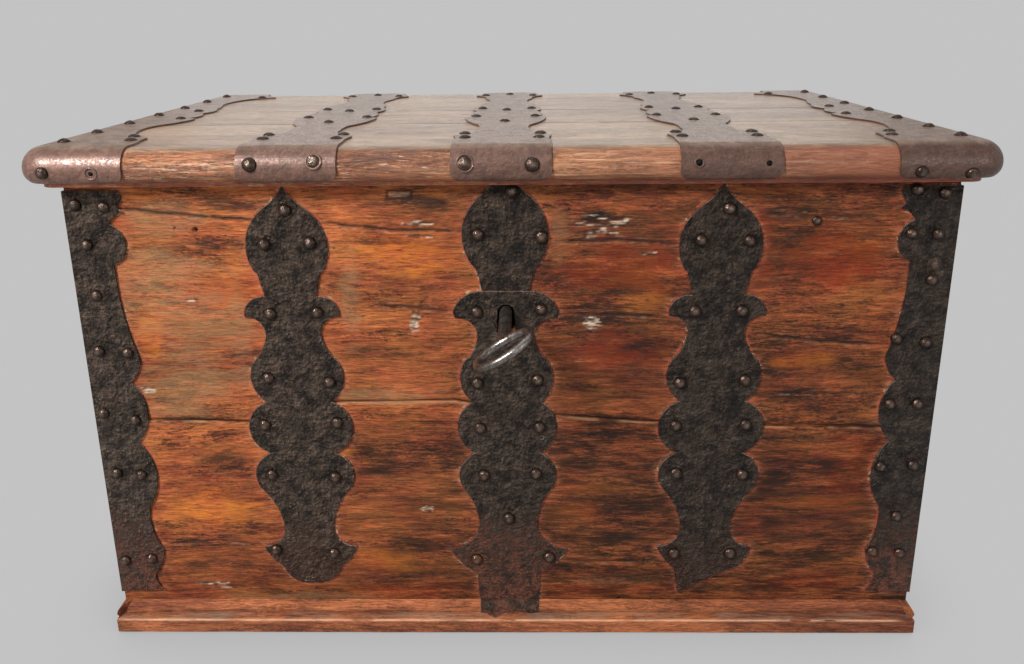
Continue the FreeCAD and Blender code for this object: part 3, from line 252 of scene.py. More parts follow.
def lid_details(add, field, colour):
    """Adds knots, the rubbed front edge with its painted light, lighter at the left end and darker at the
    right, the joints between boards and the paint at the foot.
    """
    place, ragged = field["place"], field["ragged"]
    x, y, z = [add("SeparateXYZ", place, out=axis) for axis in range(3)]
    front, up = [add("SeparateXYZ", add("TexCoord", out="Normal"), out=axis) for axis in (1, 2)]
    for knot_x, knot_y, long_half, wide_half in KNOTS:
        scale = (1 / (long_half * MM), 1 / (wide_half * MM), 0)
        centre = (-knot_x / long_half, -knot_y / wide_half, 0)
        away = add("VectorMath", add("Mapping", place, Scale=scale, Location=centre), operation="LENGTH")
        away = add("Math", ragged, 0.5, away, **TIMES_PLUS)
        colour = coat(add, colour, "#8A5E48", (away, 1.25, 0.9, 0, 0.75))
        colour = coat(add, colour, "#4A3024", (away, 1.05, 1.2), (away, 1.4, 1.25), 0.7)

    rubbed, lines = (field["rubbed"], 0.42, 0.56), (field["lines"], 0.54, 0.62, 0, 0.45)
    colour = coat(add, colour, "#DDBB9A", (front, -0.35, -0.7), rubbed, lines)
    on_front = add("MapRange", front, -0.3, -0.6, **RAMP)
    # Painted light on the front edge: lighter at the left end, darker at the right.
    painted_left_light = add("Math", on_front, add("MapRange", x, -0.5, 0.5, 0.24, -0.2, **RAMP), 1, **TIMES_PLUS)
    colour = add("HueSaturation", Value=painted_left_light, Color=colour)
    # The front edge turns redder towards the right, its darker part adding to the painted shade there.
    colour = coat(add, colour, "#84462E", on_front, (x, 0.0, 0.45, 0, 0.6))
    for joint in LID_JOINTS:
        away = add("Math", add("Math", y, joint, **MINUS), operation="ABSOLUTE")
        away = add("Math", ragged, 4 * MM, away, **TIMES_PLUS)
        colour = coat(add, colour, "#3A2A22", (away, 6.5 * MM, 3 * MM, 0, 0.85))
    foot, chipped = (z, PAINT_TOP + MM, PAINT_TOP - MM), (ragged, 0.42, 0.54, 0.1, 0.8)
    return coat(add, colour, "#8C3A26", foot, chipped, (up, -0.8, -0.4))


OAK_LID = oak("aged oak, lid", 0, LID_TONES, streaks=0.8, scuffs=0.9, rough=0.3, shine=0.55,
              top=LID_TOP_DUST_AND_SHEEN_TONES, patterns=LID_PATTERNS, details=lid_details)

# %% [markdown]
# The front boards read masks that are painted on their fine mesh further down: how close the ironwork is,
# where a crack runs, where a chip has bared pale wood, where the stain is bright, dark, grey or red, and how
# much painted shade darkens the colour towards the lower right.

# %% Oak of the front
FRONT_PATTERNS = {
    "fibres": (62, 620, 5, 0.78),
    "streaks": (11, 60, 12, 0.8),
    "fine": (36, 360, 8, 0.78),
    "broken": (130, 130, 6, 0.75),
    "parts": (16, 16, 4, 0.6),
}
FRONT_MASKS = ("near_iron", "crack", "bare", "glow", "dusk", "ash", "blood", "shade", "seam_edge")
# A stain's mask and colour, and the streakiness from which and up to which it takes hold, and how far it
# does.
FRONT_STAINS = (
    ("glow", "#C46C30", 0.66, 0.8, 0.85),
    ("blood", "#A03818", 0.64, 0.8, 0.7),
    ("ash", "#8C6A4C", 0.6, 0.8, 0.55),
    ("dusk", "#24130C", 0.68, 0.8, 0.85),
)


def front_details(add, field, colour):
    """Adds the stains, the painted shade towards the lower right, the rubbed edge round the ironwork with a
    thin painted shadow along it, the chips and the cracks.
    """
    mask = {name: add("Attribute", attribute_name=name, out="Fac") for name in FRONT_MASKS}
    near, shade = mask["near_iron"], mask["shade"]
    fine, broken, parts = field["fine"], field["broken"], field["parts"]
    streaky = add("Math", field["fibres"], 0.5, field["streaks"], **TIMES_PLUS)
    for name, stain, low, high, most in FRONT_STAINS:
        colour = coat(add, colour, stain, mask[name], (streaky, low, high, 0.08, most))
    # Dark streaks thicken where the painted shade lies, towards the lower right.
    colour = coat(add, colour, "#1E0F09", shade, (streaky, 0.66, 0.82, 0, 0.8))

    lines = add("Math", fine, 0.8, field["fibres"], **TIMES_PLUS)
    lines = add("MapRange", lines, 0.72, 1.08, -0.3, 0.27, **RAMP)
    lines = add("Math", lines, add("MapRange", shade, 0, 0.55, 0.6, 1, **RAMP), 1, **TIMES_PLUS)
    # Painted shade: the colour is up to about a third darker towards the lower right.
    value = add("Math", add("Math", shade, -0.36, 1, **TIMES_PLUS), lines, **TIMES)
    hue = add("MapRange", add("Math", parts, streaky, **PLUS), 1.05, 1.45, 0.495, 0.508, **RAMP)
    colour = add("HueSaturation", Hue=hue, Value=value, Saturation=1.02, Color=colour)

    margin, patchy = (near, 0.1, 0.6), (parts, 0.36, 0.6, 0.25, 1)
    colour = coat(add, colour, "#A8674C", margin, patchy, (fine, 0.46, 0.58, 0, 0.6))
    edge, patchy = (near, 0.5, 0.74), (parts, 0.4, 0.55, 0.2, 1)
    colour = coat(add, colour, "#A84A34", edge, patchy, (broken, 0.5, 0.56, 0, 0.8))
    colour = coat(add, colour, "#C4A284", edge, patchy, (broken, 0.45, 0.38, 0, 0.7))
    # A painted shadow: a thin dark line where the wood meets the ironwork's edge.
    colour = coat(add, colour, "#2A140E", (near, 0.9, 0.99, 0, 0.6))
    colour = coat(add, colour, "#B8825A", mask["seam_edge"], 0.6)
    colour = coat(add, colour, "#CDB69E", mask["bare"], (fine, 0.4, 0.52, 0.1, 1))
    return coat(add, colour, "#150B08", mask["crack"], 0.94)


OAK_FRONT = oak("aged oak, front", 0, FRONT_TONES, paint=0.55, scuffs=0.3, patterns=FRONT_PATTERNS,
                details=front_details)

# %% [markdown]
# ## Forged iron
# Wrought strap, hammered out hot and blackened. The hammer and two centuries of rust leave pits 2 to 4 mm
# across, rubbed bright on their rims, and damp floors have turned the lower ends purple brown. On the lid
# the same iron is rubbed brown and smooth by hands, and where it looks up it is dusty and painted paler as a
# sheen. The strap edges that look up carry dust and a painted highlight. Across the chest the iron is
# painted lighter at the left end and darker at the right, as painted light from the window side. The black
# iron mirrors little of the room, so its relief is also painted into its colour as light and shade: each
# place is as much lighter as it stands above the place up and left of it.

# %% Iron materials
# Cells per metre, levels of detail and roughness of each pattern; the lumps are about 7 mm apart.
IRON_PATTERNS = {
    "mottle": (60, 8, 0.7),
    "grain": (330, 4, 0.7),
    "lumps": (150, 3, 0.6),
    "blotch": (17, 8, 0.72),
}
PITS_PER_METRE = 190
# The step towards the light, up and to the left, over which the painted light and shade of the relief
# compares heights.
LIGHT_STEP = (-0.9 * MM, 0, 1.3 * MM)


def iron(name, tones, rust_share=0.25, rust_below=0.0, rough=0.45, metal=0.5, pits=1.0, mottled=1.0,
         top=None, painted_light_range=None, dust_and_edge_highlight=0.0, details=None):
    """Forged iron. tones are dark, light, grit and rust colours; rust comes in blotches and, up to the
    height rust_below, all over. top is a light and deep tone for faces that look up: dust, and a painted
    sheen that makes them paler. painted_light_range says how much lighter the iron is painted at the left
    end and how much darker at the right, as painted light falling from the left. dust_and_edge_highlight is
    how much dust and painted highlight the edges that look up carry. details is a function that takes the
    colour further."""
    dark, light, grit, rust = tones
    material, add = emptied(bpy.data.materials.new(name))
    place = add("TexCoord", out="Object")
    field = {key: add("TexNoise", place, *numbers) for key, numbers in IRON_PATTERNS.items()}
    mottle, grain, lumps, blotch = field.values()
    pit = add("MapRange", add("TexVoronoi", place, Scale=PITS_PER_METRE, Randomness=1), 0.05, 0.45, **RAMP)
    colour = coat(add, dark, light, (mottle, 0.36, 0.66, 0.5 - 0.5 * mottled, 0.5 + 0.5 * mottled))
    rubbed, patchy = (grain, 0.52, 0.66, 0, 0.26), (lumps, 0.42, 0.6, 0.2, 1)
    colour = coat(add, colour, grit, rubbed, patchy, 0.4 + 0.6 * mottled)
    colour = coat(add, colour, dark, (pit, 0.35, 0, 0, 0.75 * mottled))

    # Painted light and shade of the relief: lighter where a place stands above its neighbour up and to the
    # left, darker where it stands below.
    lit = add("VectorMath", place, LIGHT_STEP, **PLUS)
    above = [add("TexNoise", lit, *IRON_PATTERNS[key]) for key in ("grain", "lumps")]
    here, above = [add("Math", fine, 0.5, coarse, **TIMES_PLUS) for fine, coarse in ((grain, lumps), above)]
    painted_relief_light = add("Math", here, above, **MINUS)
    painted_relief_light = add("MapRange", painted_relief_light, -0.16, 0.16, 1 - 0.4 * mottled, 1 + 0.58 * mottled, **RAMP)
    # Painted light: the iron is lighter towards the left end and darker towards the right.
    if painted_light_range:
        painted_left_light = add("MapRange", add("SeparateXYZ", place), BOX_LEFT, BOX_RIGHT, *painted_light_range, **RAMP)
        painted_relief_light = add("Math", painted_relief_light, painted_left_light, **TIMES)
    colour = add("HueSaturation", Value=painted_relief_light, Color=colour)

    up = add("SeparateXYZ", add("TexCoord", out="Normal"), out=2)
    # Faces that look up: dust, and a painted sheen that makes them paler.
    if top:
        facing_up = add("MapRange", up, 0.8, 0.995, **RAMP)
        colour = coat(add, colour, coat(add, top[1], top[0], (mottle, 0.4, 0.62)), facing_up)
        metal = add("Math", facing_up, -metal, metal, **TIMES_PLUS)
    # Edges that look up: dust and a painted highlight.
    if dust_and_edge_highlight:
        colour = coat(add, colour, "#A89888", (up, 0.15, 0.5, 0, dust_and_edge_highlight), (lumps, 0.4, 0.55, 0.4, 1))
    low, most = 0.66 - 0.2 * rust_share, 0.85 * min(1, rust_share * 2)
    amount = add("MapRange", blotch, low, low + 0.14, 0, most, **RAMP)
    if rust_below:
        height = add("Math", blotch, 0.26, add("SeparateXYZ", place, out=2), **TIMES_PLUS)
        damp = add("MapRange", height, rust_below + 0.2, rust_below + 0.06, 0, 0.85, **RAMP)
        off_axis = add("Math", add("SeparateXYZ", place), operation="ABSOLUTE")
        spared = add("MapRange", off_axis, 0.13, 0.19, 0, -0.8, **RAMP)
        spared = add("Math", spared, add("MapRange", off_axis, 0.42, 0.37, **RAMP), 1, **TIMES_PLUS)
        amount = add("Math", amount, add("Math", damp, spared, **TIMES), operation="MAXIMUM")
    colour = coat(add, colour, coat(add, rust, "#3C2C26", (mottle, 0.42, 0.6)), amount)
    if details:
        colour = details(add, field, colour)

    height = add("Math", pit, 0.5, **TIMES)
    for pattern, low, share in ((mottle, 0.32, 0.5), (lumps, 0.3, 1), (grain, 0.3, 0.55)):
        height = add("Math", add("MapRange", pattern, low, 1 - low, **RAMP), share, height, **TIMES_PLUS)
    bump = add("Bump", Strength=pits, Distance=5 * MM, Height=height)
    rough = add("MapRange", grain, 0.35, 0.65, rough + 0.14, rough - 0.1, **RAMP)
    shader = add("BsdfPrincipled", Base_Color=colour, Metallic=metal, Roughness=rough, Normal=bump)
    add("OutputMaterial", Surface=shader)
    return material


STRAP_TONES = ("#1C1511", "#54453A", "#90806F", "#80503E")
LID_IRON_TONES = ("#442F28", "#765648", "#9A867C", "#8A4E38")
HANDLE_TONES = ("#241C17", "#54463B", "#8A7A6C", "#6A4232")
LOCK_TONES = ("#2B2826", "#5C5650", "#837C75", "#5A3A2C")
KEY_TONES = ("#4E4640", "#86807A", "#C6C2BE", "#6A503E")

# The straps are painted lighter at the left and darker at the right; their edges that look up get dust and a
# painted highlight.
STRAP_IRON = iron("blackened wrought iron, pitted", STRAP_TONES, rust_below=0.12, rough=0.4,
                  painted_light_range=(1.28, 0.7), dust_and_edge_highlight=0.75)
# The lid iron is painted lighter at the left and darker at the right, and paler where it looks up, from dust
# and a painted sheen.
LID_IRON = iron("wrought iron, rubbed brown", LID_IRON_TONES, 0.4, rough=0.4, metal=0.3, pits=0.07,
                mottled=0.45, top=("#786050", "#5A4434"), painted_light_range=(1.15, 0.62))
HANDLE_IRON = iron("forged bar, rubbed by hands", HANDLE_TONES, rough=0.34, pits=0.35)
LOCK_STEEL = iron("filed steel, darkened", LOCK_TONES, 0.2, rough=0.38, metal=0.85, pits=0.25)
KEY_STEEL = iron("filed steel, worn bright", KEY_TONES, 0.12, rough=0.27, metal=0.9, pits=0.08, mottled=0.6)

# %% [markdown]
# Each node of the frame gets the finish of the first group with a word that starts its name.
# Its name also says which body it rides on.

# %% Finishes of the frame
FINISHES = (
    (STRAP_IRON, "forged_iron", ("front_strap", "corner_iron", "hinge_strap", "handle")),
    (LID_IRON, "forged_iron", ("lid_strap", "lid_end_strap")),
    (LOCK_STEEL, "lock_steel", ("hinge_pin", "lock_", "bolt_guide", "lid_hasp")),
    (KEY_STEEL, "worn_steel", ("key",)),
    (OAK_ENDS, "oak", ("end_board",)),
    (OAK_BACK, "oak", ("back_board", "front_board")),
    (OAK_LID, "oak", ("lid_board",)),
    (OAK_BASE_SIDES, "oak_base", ("base_rail_left", "base_rail_right")),
    (OAK_BASE, "oak_base", ("base_rail",)),
    (OAK_INSIDE, "oak", ("floor_board",)),
    (OAK_TILL, "oak", ("till",)),
)
MOVING = {"lock_bolt": "bolt", "key": "key", "handle_left": "handle_left", "handle_right": "handle_right"}


def finish_of(name):
    """The material and slot of a node."""
    return next((material, slot) for material, slot, words in FINISHES if name.startswith(words))


def body_of(name):
    """The body that a node rides on."""
    return "lid" if name.startswith("lid_") else MOVING.get(name, "chest")


def clad(thing, material):
    """Gives an object one material."""
    thing.data.materials.clear()
    thing.data.materials.append(material)
    return thing


for name, thing in NODES.items():
    clad(thing, finish_of(name)[0])
print("materials:", len(bpy.data.materials))

# %% [markdown]
# ## Worn edges
# A frame node is loose triangles with knife edges. A worn copy merges them, joins those that lie in one
# plane, and rounds what is left, so that edges catch the light as hand-planed wood and filed iron do.

# %% Worn copies
# How wide the rounding is, in millimetres, and the words that start the nodes' names.
WORN = (
    (1.5, ("base_rail",)),
    (1.2, ("end_board", "back_board")),
    (1.0, ("front_strap", "corner_iron", "lid_board", "till", "floor_board")),
    (0.7, ("handle_mount",)),
    (0.6, ("hinge_strap", "lid_strap", "lid_end_strap")),
    (0.5, ("lock_plate", "lid_hasp")),
    (0.4, ("lock_bridge",)),
)
INNER_X, INNER_Y = BOX_RIGHT - 20 * MM, BACK_Y - 18 * MM
SHARP = math.radians(32)
FLAT = math.radians(0.5)


def merged(name):
    """A copy of a node's mesh with its triangles joined into flat faces."""
    shape = bmesh.new()
    shape.from_mesh(NODES[name].data)
    bmesh.ops.remove_doubles(shape, verts=shape.verts, dist=0.002 * MM)
    bmesh.ops.dissolve_limit(shape, angle_limit=FLAT, verts=shape.verts, edges=shape.edges)
    return shape


def place_piece(name, mesh, material, body, replaced=()):
    """Puts a mesh in the scene as a piece that rides on a body and stands for the replaced nodes."""
    thing = bpy.data.objects.new(name, mesh)
    bpy.context.scene.collection.objects.link(thing)
    clad(thing, material)
    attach(thing, body)
    for node in replaced:
        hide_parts(node)
    return thing


def looks_inward(face):
    """Whether a face of a wall board looks into the chest."""
    middle = face.center
    inside = abs(middle.x) < INNER_X and abs(middle.y) < INNER_Y
    return inside and abs(face.normal.z) < 0.5 and face.normal.dot(Vector((middle.x, middle.y, 0))) < 0


def worn_copy(name, width, shape=None):
    """A node's merged copy with rounded edges, in the node's place."""
    shape = shape or merged(name)
    mesh = bpy.data.meshes.new(name + "_worn")
    shape.to_mesh(mesh)
    shape.free()
    mesh.polygons.foreach_set("use_smooth", np.ones(len(mesh.polygons), bool))
    mesh.set_sharp_from_angle(angle=SHARP)
    material, slot = finish_of(name)
    thing = place_piece(name + "_worn", mesh, material, body_of(name), [name])
    if name.startswith(("end_board", "back_board", "front_board")):
        mesh.materials.append(OAK_TILL if name.startswith("end_board") else OAK_INSIDE)
        for face in mesh.polygons:
            face.material_index = int(looks_inward(face))
    bevel = thing.modifiers.new("worn edges", "BEVEL")
    bevel.width = width * MM
    bevel.segments = 2
    bevel.limit_method = "ANGLE"
    bevel.angle_limit = SHARP
    bevel.harden_normals = True
    return thing


worn = [(name, width) for name in NODES for width, words in WORN if name.startswith(words)]
for name, width in worn:
    worn_copy(name, width)
print(len(worn), "nodes with worn edges")

# %% [markdown]
# ## Surfaces from arrays
# New pieces are grids of points worked out by formula. `value_noise` gives a smooth random height for any
# array of places, and `grid` turns an array of points into a mesh with painted masks.


# %% Array helpers
def value_noise(x, y, seed, octaves=4, gain=0.5):
    """Smooth noise from about -1 to 1 at places x, y, in cells: random corner heights blended by
    t*t*(3-2t), then the same at half the cell size and a share of the height, and so on."""
    size = 256
    total, weight, strength = np.zeros_like(x, dtype=float), 0.0, 1.0
    for octave in range(octaves):
        table = np.random.default_rng(seed * 31 + octave).random((size, size)) * 2 - 1
        left, low = np.floor(x).astype(int), np.floor(y).astype(int)
        across, up = x - left, y - low
        across, up = across * across * (3 - 2 * across), up * up * (3 - 2 * up)
        corner = [[table[(low + j) % size, (left + i) % size] for i in (0, 1)] for j in (0, 1)]
        lower = corner[0][0] * (1 - across) + corner[0][1] * across
        upper = corner[1][0] * (1 - across) + corner[1][1] * across
        total += strength * (lower * (1 - up) + upper * up)
        weight += strength
        strength *= gain
        x, y = x * 2 + 17.3, y * 2 + 5.1
    return total / weight


def smooth(value, low, high):
    """0 below low, 1 above high, and t*t*(3-2t) between."""
    t = np.clip((value - low) / (high - low), 0, 1)
    return t * t * (3 - 2 * t)


def build(name, points, faces, masks=None):
    """A smoothly shaded mesh of points and faces. masks are arrays painted on the points as attributes."""
    mesh = bpy.data.meshes.new(name)
    mesh.from_pydata(points.reshape(-1, 3).tolist(), [], faces)
    mesh.polygons.foreach_set("use_smooth", np.ones(len(mesh.polygons), bool))
    for mask, values in (masks or {}).items():
        layer = mesh.attributes.new(mask, "FLOAT", "POINT")
        layer.data.foreach_set("value", np.ascontiguousarray(values, dtype=np.float32).reshape(-1))
    return mesh


def grid(name, points, masks=None, holes=None, closed=False, capped=False):
    """A mesh through rows and columns of points. masks are arrays painted on the points as attributes;
    holes is true for points whose faces are left out; closed joins the last column to the first; capped
    fills the first and last row."""
    rows, columns = points.shape[:2]
    index = np.arange(rows * columns).reshape(rows, columns)
    ends = [index[0, ::-1].tolist(), index[-1].tolist()] if capped else []
    if closed:
        index = np.concatenate([index, index[:, :1]], axis=1)
    quads = np.stack([index[:-1, :-1], index[:-1, 1:], index[1:, 1:], index[1:, :-1]], axis=-1)
    quads = quads.reshape(-1, 4)
    if holes is not None:
        quads = quads[~holes.reshape(-1)[quads].any(axis=1)]
    return build(name, points, quads.tolist() + ends, masks)


# %% [markdown]
# ## The front face
# A fine skin lies on each front board. It follows the grain as ripples, sinks where a crack runs and where
# a chip broke away, and rolls over at the seam between the boards. The ironwork's own outline, read from
# the frame, tells how far each point is from the nearest strap.

# %% Where the ironwork is
PLANE_TOLERANCE = 0.05 * MM
OUTLINE_STEP = 2 * MM


def iron_outline():
    """Points one step apart along the edges of the front ironwork's back faces: an edge that only one flat
    face uses lies on the outline."""
    found = []
    for name, thing in NODES.items():
        if not name.startswith(("front_strap", "corner_iron_front")):
            continue
        mesh = thing.data
        flat = {}
        for face in mesh.polygons:
            if all(abs(mesh.vertices[v].co.y - FRONT_Y) < PLANE_TOLERANCE for v in face.vertices):
                for key in face.edge_keys:
                    ends = tuple(sorted(tuple(round(c, 6) for c in mesh.vertices[v].co) for v in key))
                    flat[ends] = flat.get(ends, 0) + 1
        for (a, b), uses in flat.items():
            if uses == 1:
                a, b = Vector(a), Vector(b)
                count = max(1, math.ceil((b - a).length / OUTLINE_STEP))
                found += [a.lerp(b, i / count) for i in range(count)]
    return found


outline_points = iron_outline()
outline_tree = KDTree(len(outline_points))
for number, point in enumerate(outline_points):
    outline_tree.insert(point, number)
outline_tree.balance()
print(len(outline_points), "points round the front ironwork")

# %% [markdown]
# Each crack is a line of places in millimetres across and up the front, with a depth. Chips are ragged
# ellipses where the surface has flaked along the grain, and stains are soft ellipses.

# %% Cracks, chips and stains
CRACKS = (
    ([(-472, 571), (-387, 564), (-280, 552)], 3.2),
    ([(-225, 552), (-128, 543), (-45, 539)], 2.5),
    ([(55, 529), (130, 529), (204, 523)], 2.5),
    ([(-168, 450), (-120, 446), (-67, 439)], 2.0),
    ([(57, 437), (186, 434)], 1.8),
    ([(283, 412), (376, 400), (454, 397)], 2.2),
    ([(-97, 461), (-106, 452), (-112, 436), (-122, 410)], 1.3),
    ([(-106, 452), (-92, 441)], 1.0),
    ([(300, 560), (352, 556), (430, 558)], 1.4),
    ([(290, 330), (340, 334), (440, 331)], 1.4),
    ([(-455, 120), (-390, 124), (-340, 118)], 1.2),
    ([(60, 96), (128, 92), (200, 95)], 1.4),
)
CRACK_WIDTH = 1.5
# A chip's middle across and up, half length, half height and depth.
CHIPS = (
    (110, 552, 30, 9, 1.8),
    (112, 539, 18, 3.5, 1.4),
    (96, 533, 10, 2.0, 0.8),
    (99, 424, 13, 9, 1.2),
    (-110, 171, 13, 4, 0.5),
    (-85, 156, 5, 2, 0.5),
    (-384, 458, 8, 2.5, 0.8),
    (-401, 59, 20, 3, 0.5),
    (-384, 52, 14, 1.6, 0.4),
    (-452, 339, 9, 5, 0.5),
    (-104, 550, 20, 3, 1.2),
    (-104, 535, 18, 2, 1.0),
    (-116, 428, 6, 12, 0.8),
    (163, 512, 12, 2, 0.5),
    (340, 455, 9, 1.5, 0.3),
    (-300, 268, 16, 1.6, 0.3),
)
# A worm or nail hole's middle and radius, and a let-in piece's middle, half length and half height.
HOLES = ((-371, 544, 2.8), (-396, 546, 1.2), (141, 35, 2.0))
INLAY = (-128, 585, 17, 7)
# A stain's middle across and up, half length and half height.
STAINS = {
    "glow": ((-113, 513, 52, 26), (-392, 169, 56, 26), (81, 166, 30, 11), (-440, 419, 16, 40),
             (156, 454, 26, 14), (-168, 95, 50, 18), (353, 376, 40, 11), (-250, 250, 60, 12),
             (400, 180, 50, 10), (100, 200, 45, 8)),
    "dusk": ((-122, 577, 74, 16), (-366, 239, 32, 17), (118, 258, 62, 34), (131, 108, 38, 26),
             (106, 558, 26, 9), (77, 571, 18, 12), (-143, 227, 40, 14), (-134, 117, 40, 17),
             (338, 567, 40, 12), (399, 409, 48, 9), (365, 226, 54, 20), (158, 397, 26, 14),
             (-343, 526, 32, 12), (-135, 391, 52, 12), (-330, 576, 60, 10), (340, 330, 40, 8),
             (-380, 90, 50, 12), (380, 110, 60, 16)),
    "ash": ((-420, 470, 70, 60), (-400, 350, 60, 40), (-410, 562, 40, 22), (-450, 336, 14, 8),
            (-312, 270, 14, 12), (459, 289, 14, 8), (-285, 36, 110, 9), (60, 536, 12, 28),
            (-330, 418, 14, 56), (-193, 456, 12, 56), (-380, 420, 60, 30), (-420, 310, 40, 14),
            (-160, 330, 60, 12), (120, 62, 60, 8)),
    "blood": ((138, 496, 66, 32), (295, 516, 16, 42), (390, 503, 56, 36), (116, 49, 80, 12),
              (134, 390, 54, 22), (-150, 48, 80, 12), (428, 226, 40, 44), (-350, 470, 50, 16),
              (380, 60, 60, 16)),
}
# The line where the two front boards meet, left to right; it jumps behind the straps.
SEAM = ((-521, 300), (-455, 299), (-320, 295), (-215, 322), (-70, 324), (35, 305), (160, 295), (290, 289),
        (521, 286))
# The spacing of the skin's points, and how far out it is plain because the corner irons cover it.
SKIN_STEP = 2.0
UNDER_CORNER_IRON = 491


def distance_to_line(x, z, line):
    """How far each place is from a broken line, and how far along it the nearest point lies, 0 to 1."""
    best = np.full(x.shape, np.inf)
    share = np.zeros(x.shape)
    count = len(line) - 1
    for number, ((ax, az), (bx, bz)) in enumerate(zip(line, line[1:])):
        dx, dz = bx - ax, bz - az
        t = np.clip(((x - ax) * dx + (z - az) * dz) / (dx * dx + dz * dz), 0, 1)
        away = np.hypot(x - ax - t * dx, z - az - t * dz)
        share = np.where(away < best, (number + t) / count, share)
        best = np.minimum(best, away)
    return best, share


def scars(x, z, seed):
    """Masks crack and bare, and the depth of both: a crack is exp(-(away/width)^2) round its line, a chip
    a ragged ellipse filled with flakes along the grain."""
    wander = value_noise(x / 45, z / 20, seed + 5, 3) * 2.2 + value_noise(x / 7, z / 7, seed + 6, 2) * 0.8
    crack, depth, bare = np.zeros_like(x), np.zeros_like(x), np.zeros_like(x)
    for line, deep in CRACKS:
        away, along = distance_to_line(x, z + wander, line)
        taper = np.clip(np.minimum(along, 1 - along) * 8, 0.15, 1)
        cut = np.exp(-((away / (CRACK_WIDTH * (0.6 + 0.7 * taper))) ** 2)) * taper
        cut = cut * (0.45 + 0.55 * smooth(value_noise(x / 11, z / 60, seed + 9, 2), -0.75, -0.1))
        crack = np.maximum(crack, cut * min(1, deep / 2.2))
        depth = np.maximum(depth, cut * deep)
        lip = np.exp(-(((away - CRACK_WIDTH - 1.6) / 1.1) ** 2)) * taper
        bare = np.maximum(bare, 0.18 * lip * smooth(value_noise(x / 8, z / 3, seed + 12, 3), 0.0, 0.4))
    flakes = smooth(value_noise(x / 16, z / 2.4, seed + 13, 3), -0.25, 0.3)
    ragged = value_noise(x / 9, z / 4, seed + 11, 3) * 0.7
    for cx, cz, half_long, half_high, deep in CHIPS:
        inside = smooth(1.1 - np.hypot((x - cx) / half_long, (z - cz) / half_high) + ragged, 0, 0.35)
        bare = np.maximum(bare, inside * flakes)
        crack = np.maximum(crack, 0.75 * inside * (1 - flakes))
        depth = np.maximum(depth, inside * deep * (1 - 0.6 * flakes))
    for hx, hz, radius in HOLES:
        hole = np.clip((radius - np.hypot(x - hx, z - hz)) / 1.2 + 0.5, 0, 1)
        crack = np.maximum(crack, hole)
        depth = np.maximum(depth, hole * 4)
    cx, cz, half_long, half_high = INLAY
    left_right, up_down = half_long - np.abs(x - cx), half_high - np.abs(z - cz)
    inlay = np.minimum(smooth(left_right, 0, 3), smooth(up_down, 0, 2))
    rim = inlay * (1 - np.minimum(smooth(left_right, 3, 5.5), smooth(up_down, 2.4, 4.4)))
    crack = np.maximum(crack, rim * 0.8)
    bare = np.maximum(bare, (inlay - rim) * 0.25 * flakes)
    depth = np.maximum(depth, rim * 1.2)
    return crack, bare, depth


def front_skin(low, high, seam_below, seed):
    """The outer face of a front board between a low and a high line, one of which is the seam. Each place
    is pushed in by ripples along the grain, by cracks and by chips, and rolled in at the seam."""
    columns = int((BOX_RIGHT - BOX_LEFT) / MM / SKIN_STEP) + 1
    across = np.linspace(BOX_LEFT, BOX_RIGHT, columns) / MM
    low, high = (np.interp(across, *zip(*line)) for line in (low, high))
    rows = int((high - low).max() / SKIN_STEP) + 1
    up = np.linspace(0, 1, rows)[:, None]
    x = np.broadcast_to(across, (rows, columns)).copy()
    z = low + (high - low) * up
    flat = [outline_tree.find(Vector((a * MM, FRONT_Y, b * MM)))[2] for a, b in zip(x.ravel(), z.ravel())]
    near = np.array(flat).reshape(x.shape) / MM
    crack, bare, depth = scars(x, z, seed)
    masks = {"near_iron": np.exp(-near / 6.0), "bare": bare}
    ragged = value_noise(x / 30, z / 8, seed + 21, 4) * 0.8
    for stain, places in STAINS.items():
        masks[stain] = np.zeros_like(x)
        for cx, cz, half_long, half_high in places:
            inside = smooth(1.45 - np.hypot((x - cx) / half_long, (z - cz) / half_high) + ragged, 0, 1.1)
            masks[stain] = np.maximum(masks[stain], inside)
    # Painted shade: darker towards the right and towards the bottom, as if lit from the upper left.
    rightward = 0.6 * smooth(x, -330, 190) - 0.2 * smooth(x, 280, 420)
    downward = 0.45 * smooth(-z, -330, -240) * smooth(x, -380, -40) + 0.25 * smooth(-z, -120, -40)
    masks["shade"] = np.clip(rightward + downward + value_noise(x / 90, z / 60, 4, 3) * 0.2, 0, 1)

    wobble = value_noise(x / 25, x * 0, 7, 3) * 1.1
    seam = z - low - wobble if seam_below else high - z + wobble
    gap = np.clip(seam, 0, None)
    depth += np.exp(-gap / 1.5) * 2.4
    masks["crack"] = np.maximum(crack, np.exp(-((gap / (1.6 if seam_below else 0.9)) ** 2)) * 0.9)
    pale = smooth(value_noise(x / 30, z * 0, 5, 3), -0.5, 0.2) * (not seam_below)
    masks["seam_edge"] = np.exp(-(((seam - 2.6) / 1.5) ** 2)) * pale
    ripple = value_noise(x / 70, z / 2.6, seed, 3) * 0.16 + value_noise(x / 120, z / 30, seed + 3, 2) * 0.35
    lip = np.exp(-(((near - 1.5) / 1.2) ** 2)) * 0.25
    inward = np.clip(depth + 0.5 + ripple - lip, 0.05, None)
    inward = np.where(np.abs(x) > UNDER_CORNER_IRON, 0.3, inward)
    return np.stack([x, FRONT_Y / MM + inward, z], axis=-1) * MM, masks


# %% [markdown]
# The frame's own board gives way to a copy without its front face, and the skin closes it.

# %% Front boards
KEY_X = middle_x("lock_bridge")
KEY_Z = 440 * MM
KEYHOLE_HALF, KEYHOLE_LOW, KEYHOLE_HIGH = 13 * MM, 411 * MM, 453 * MM
RIM_LINE = ((-521, RIM / MM), (521, RIM / MM))
BASE_LINE = ((-521, BASE_TOP / MM - 2), (521, BASE_TOP / MM - 2))
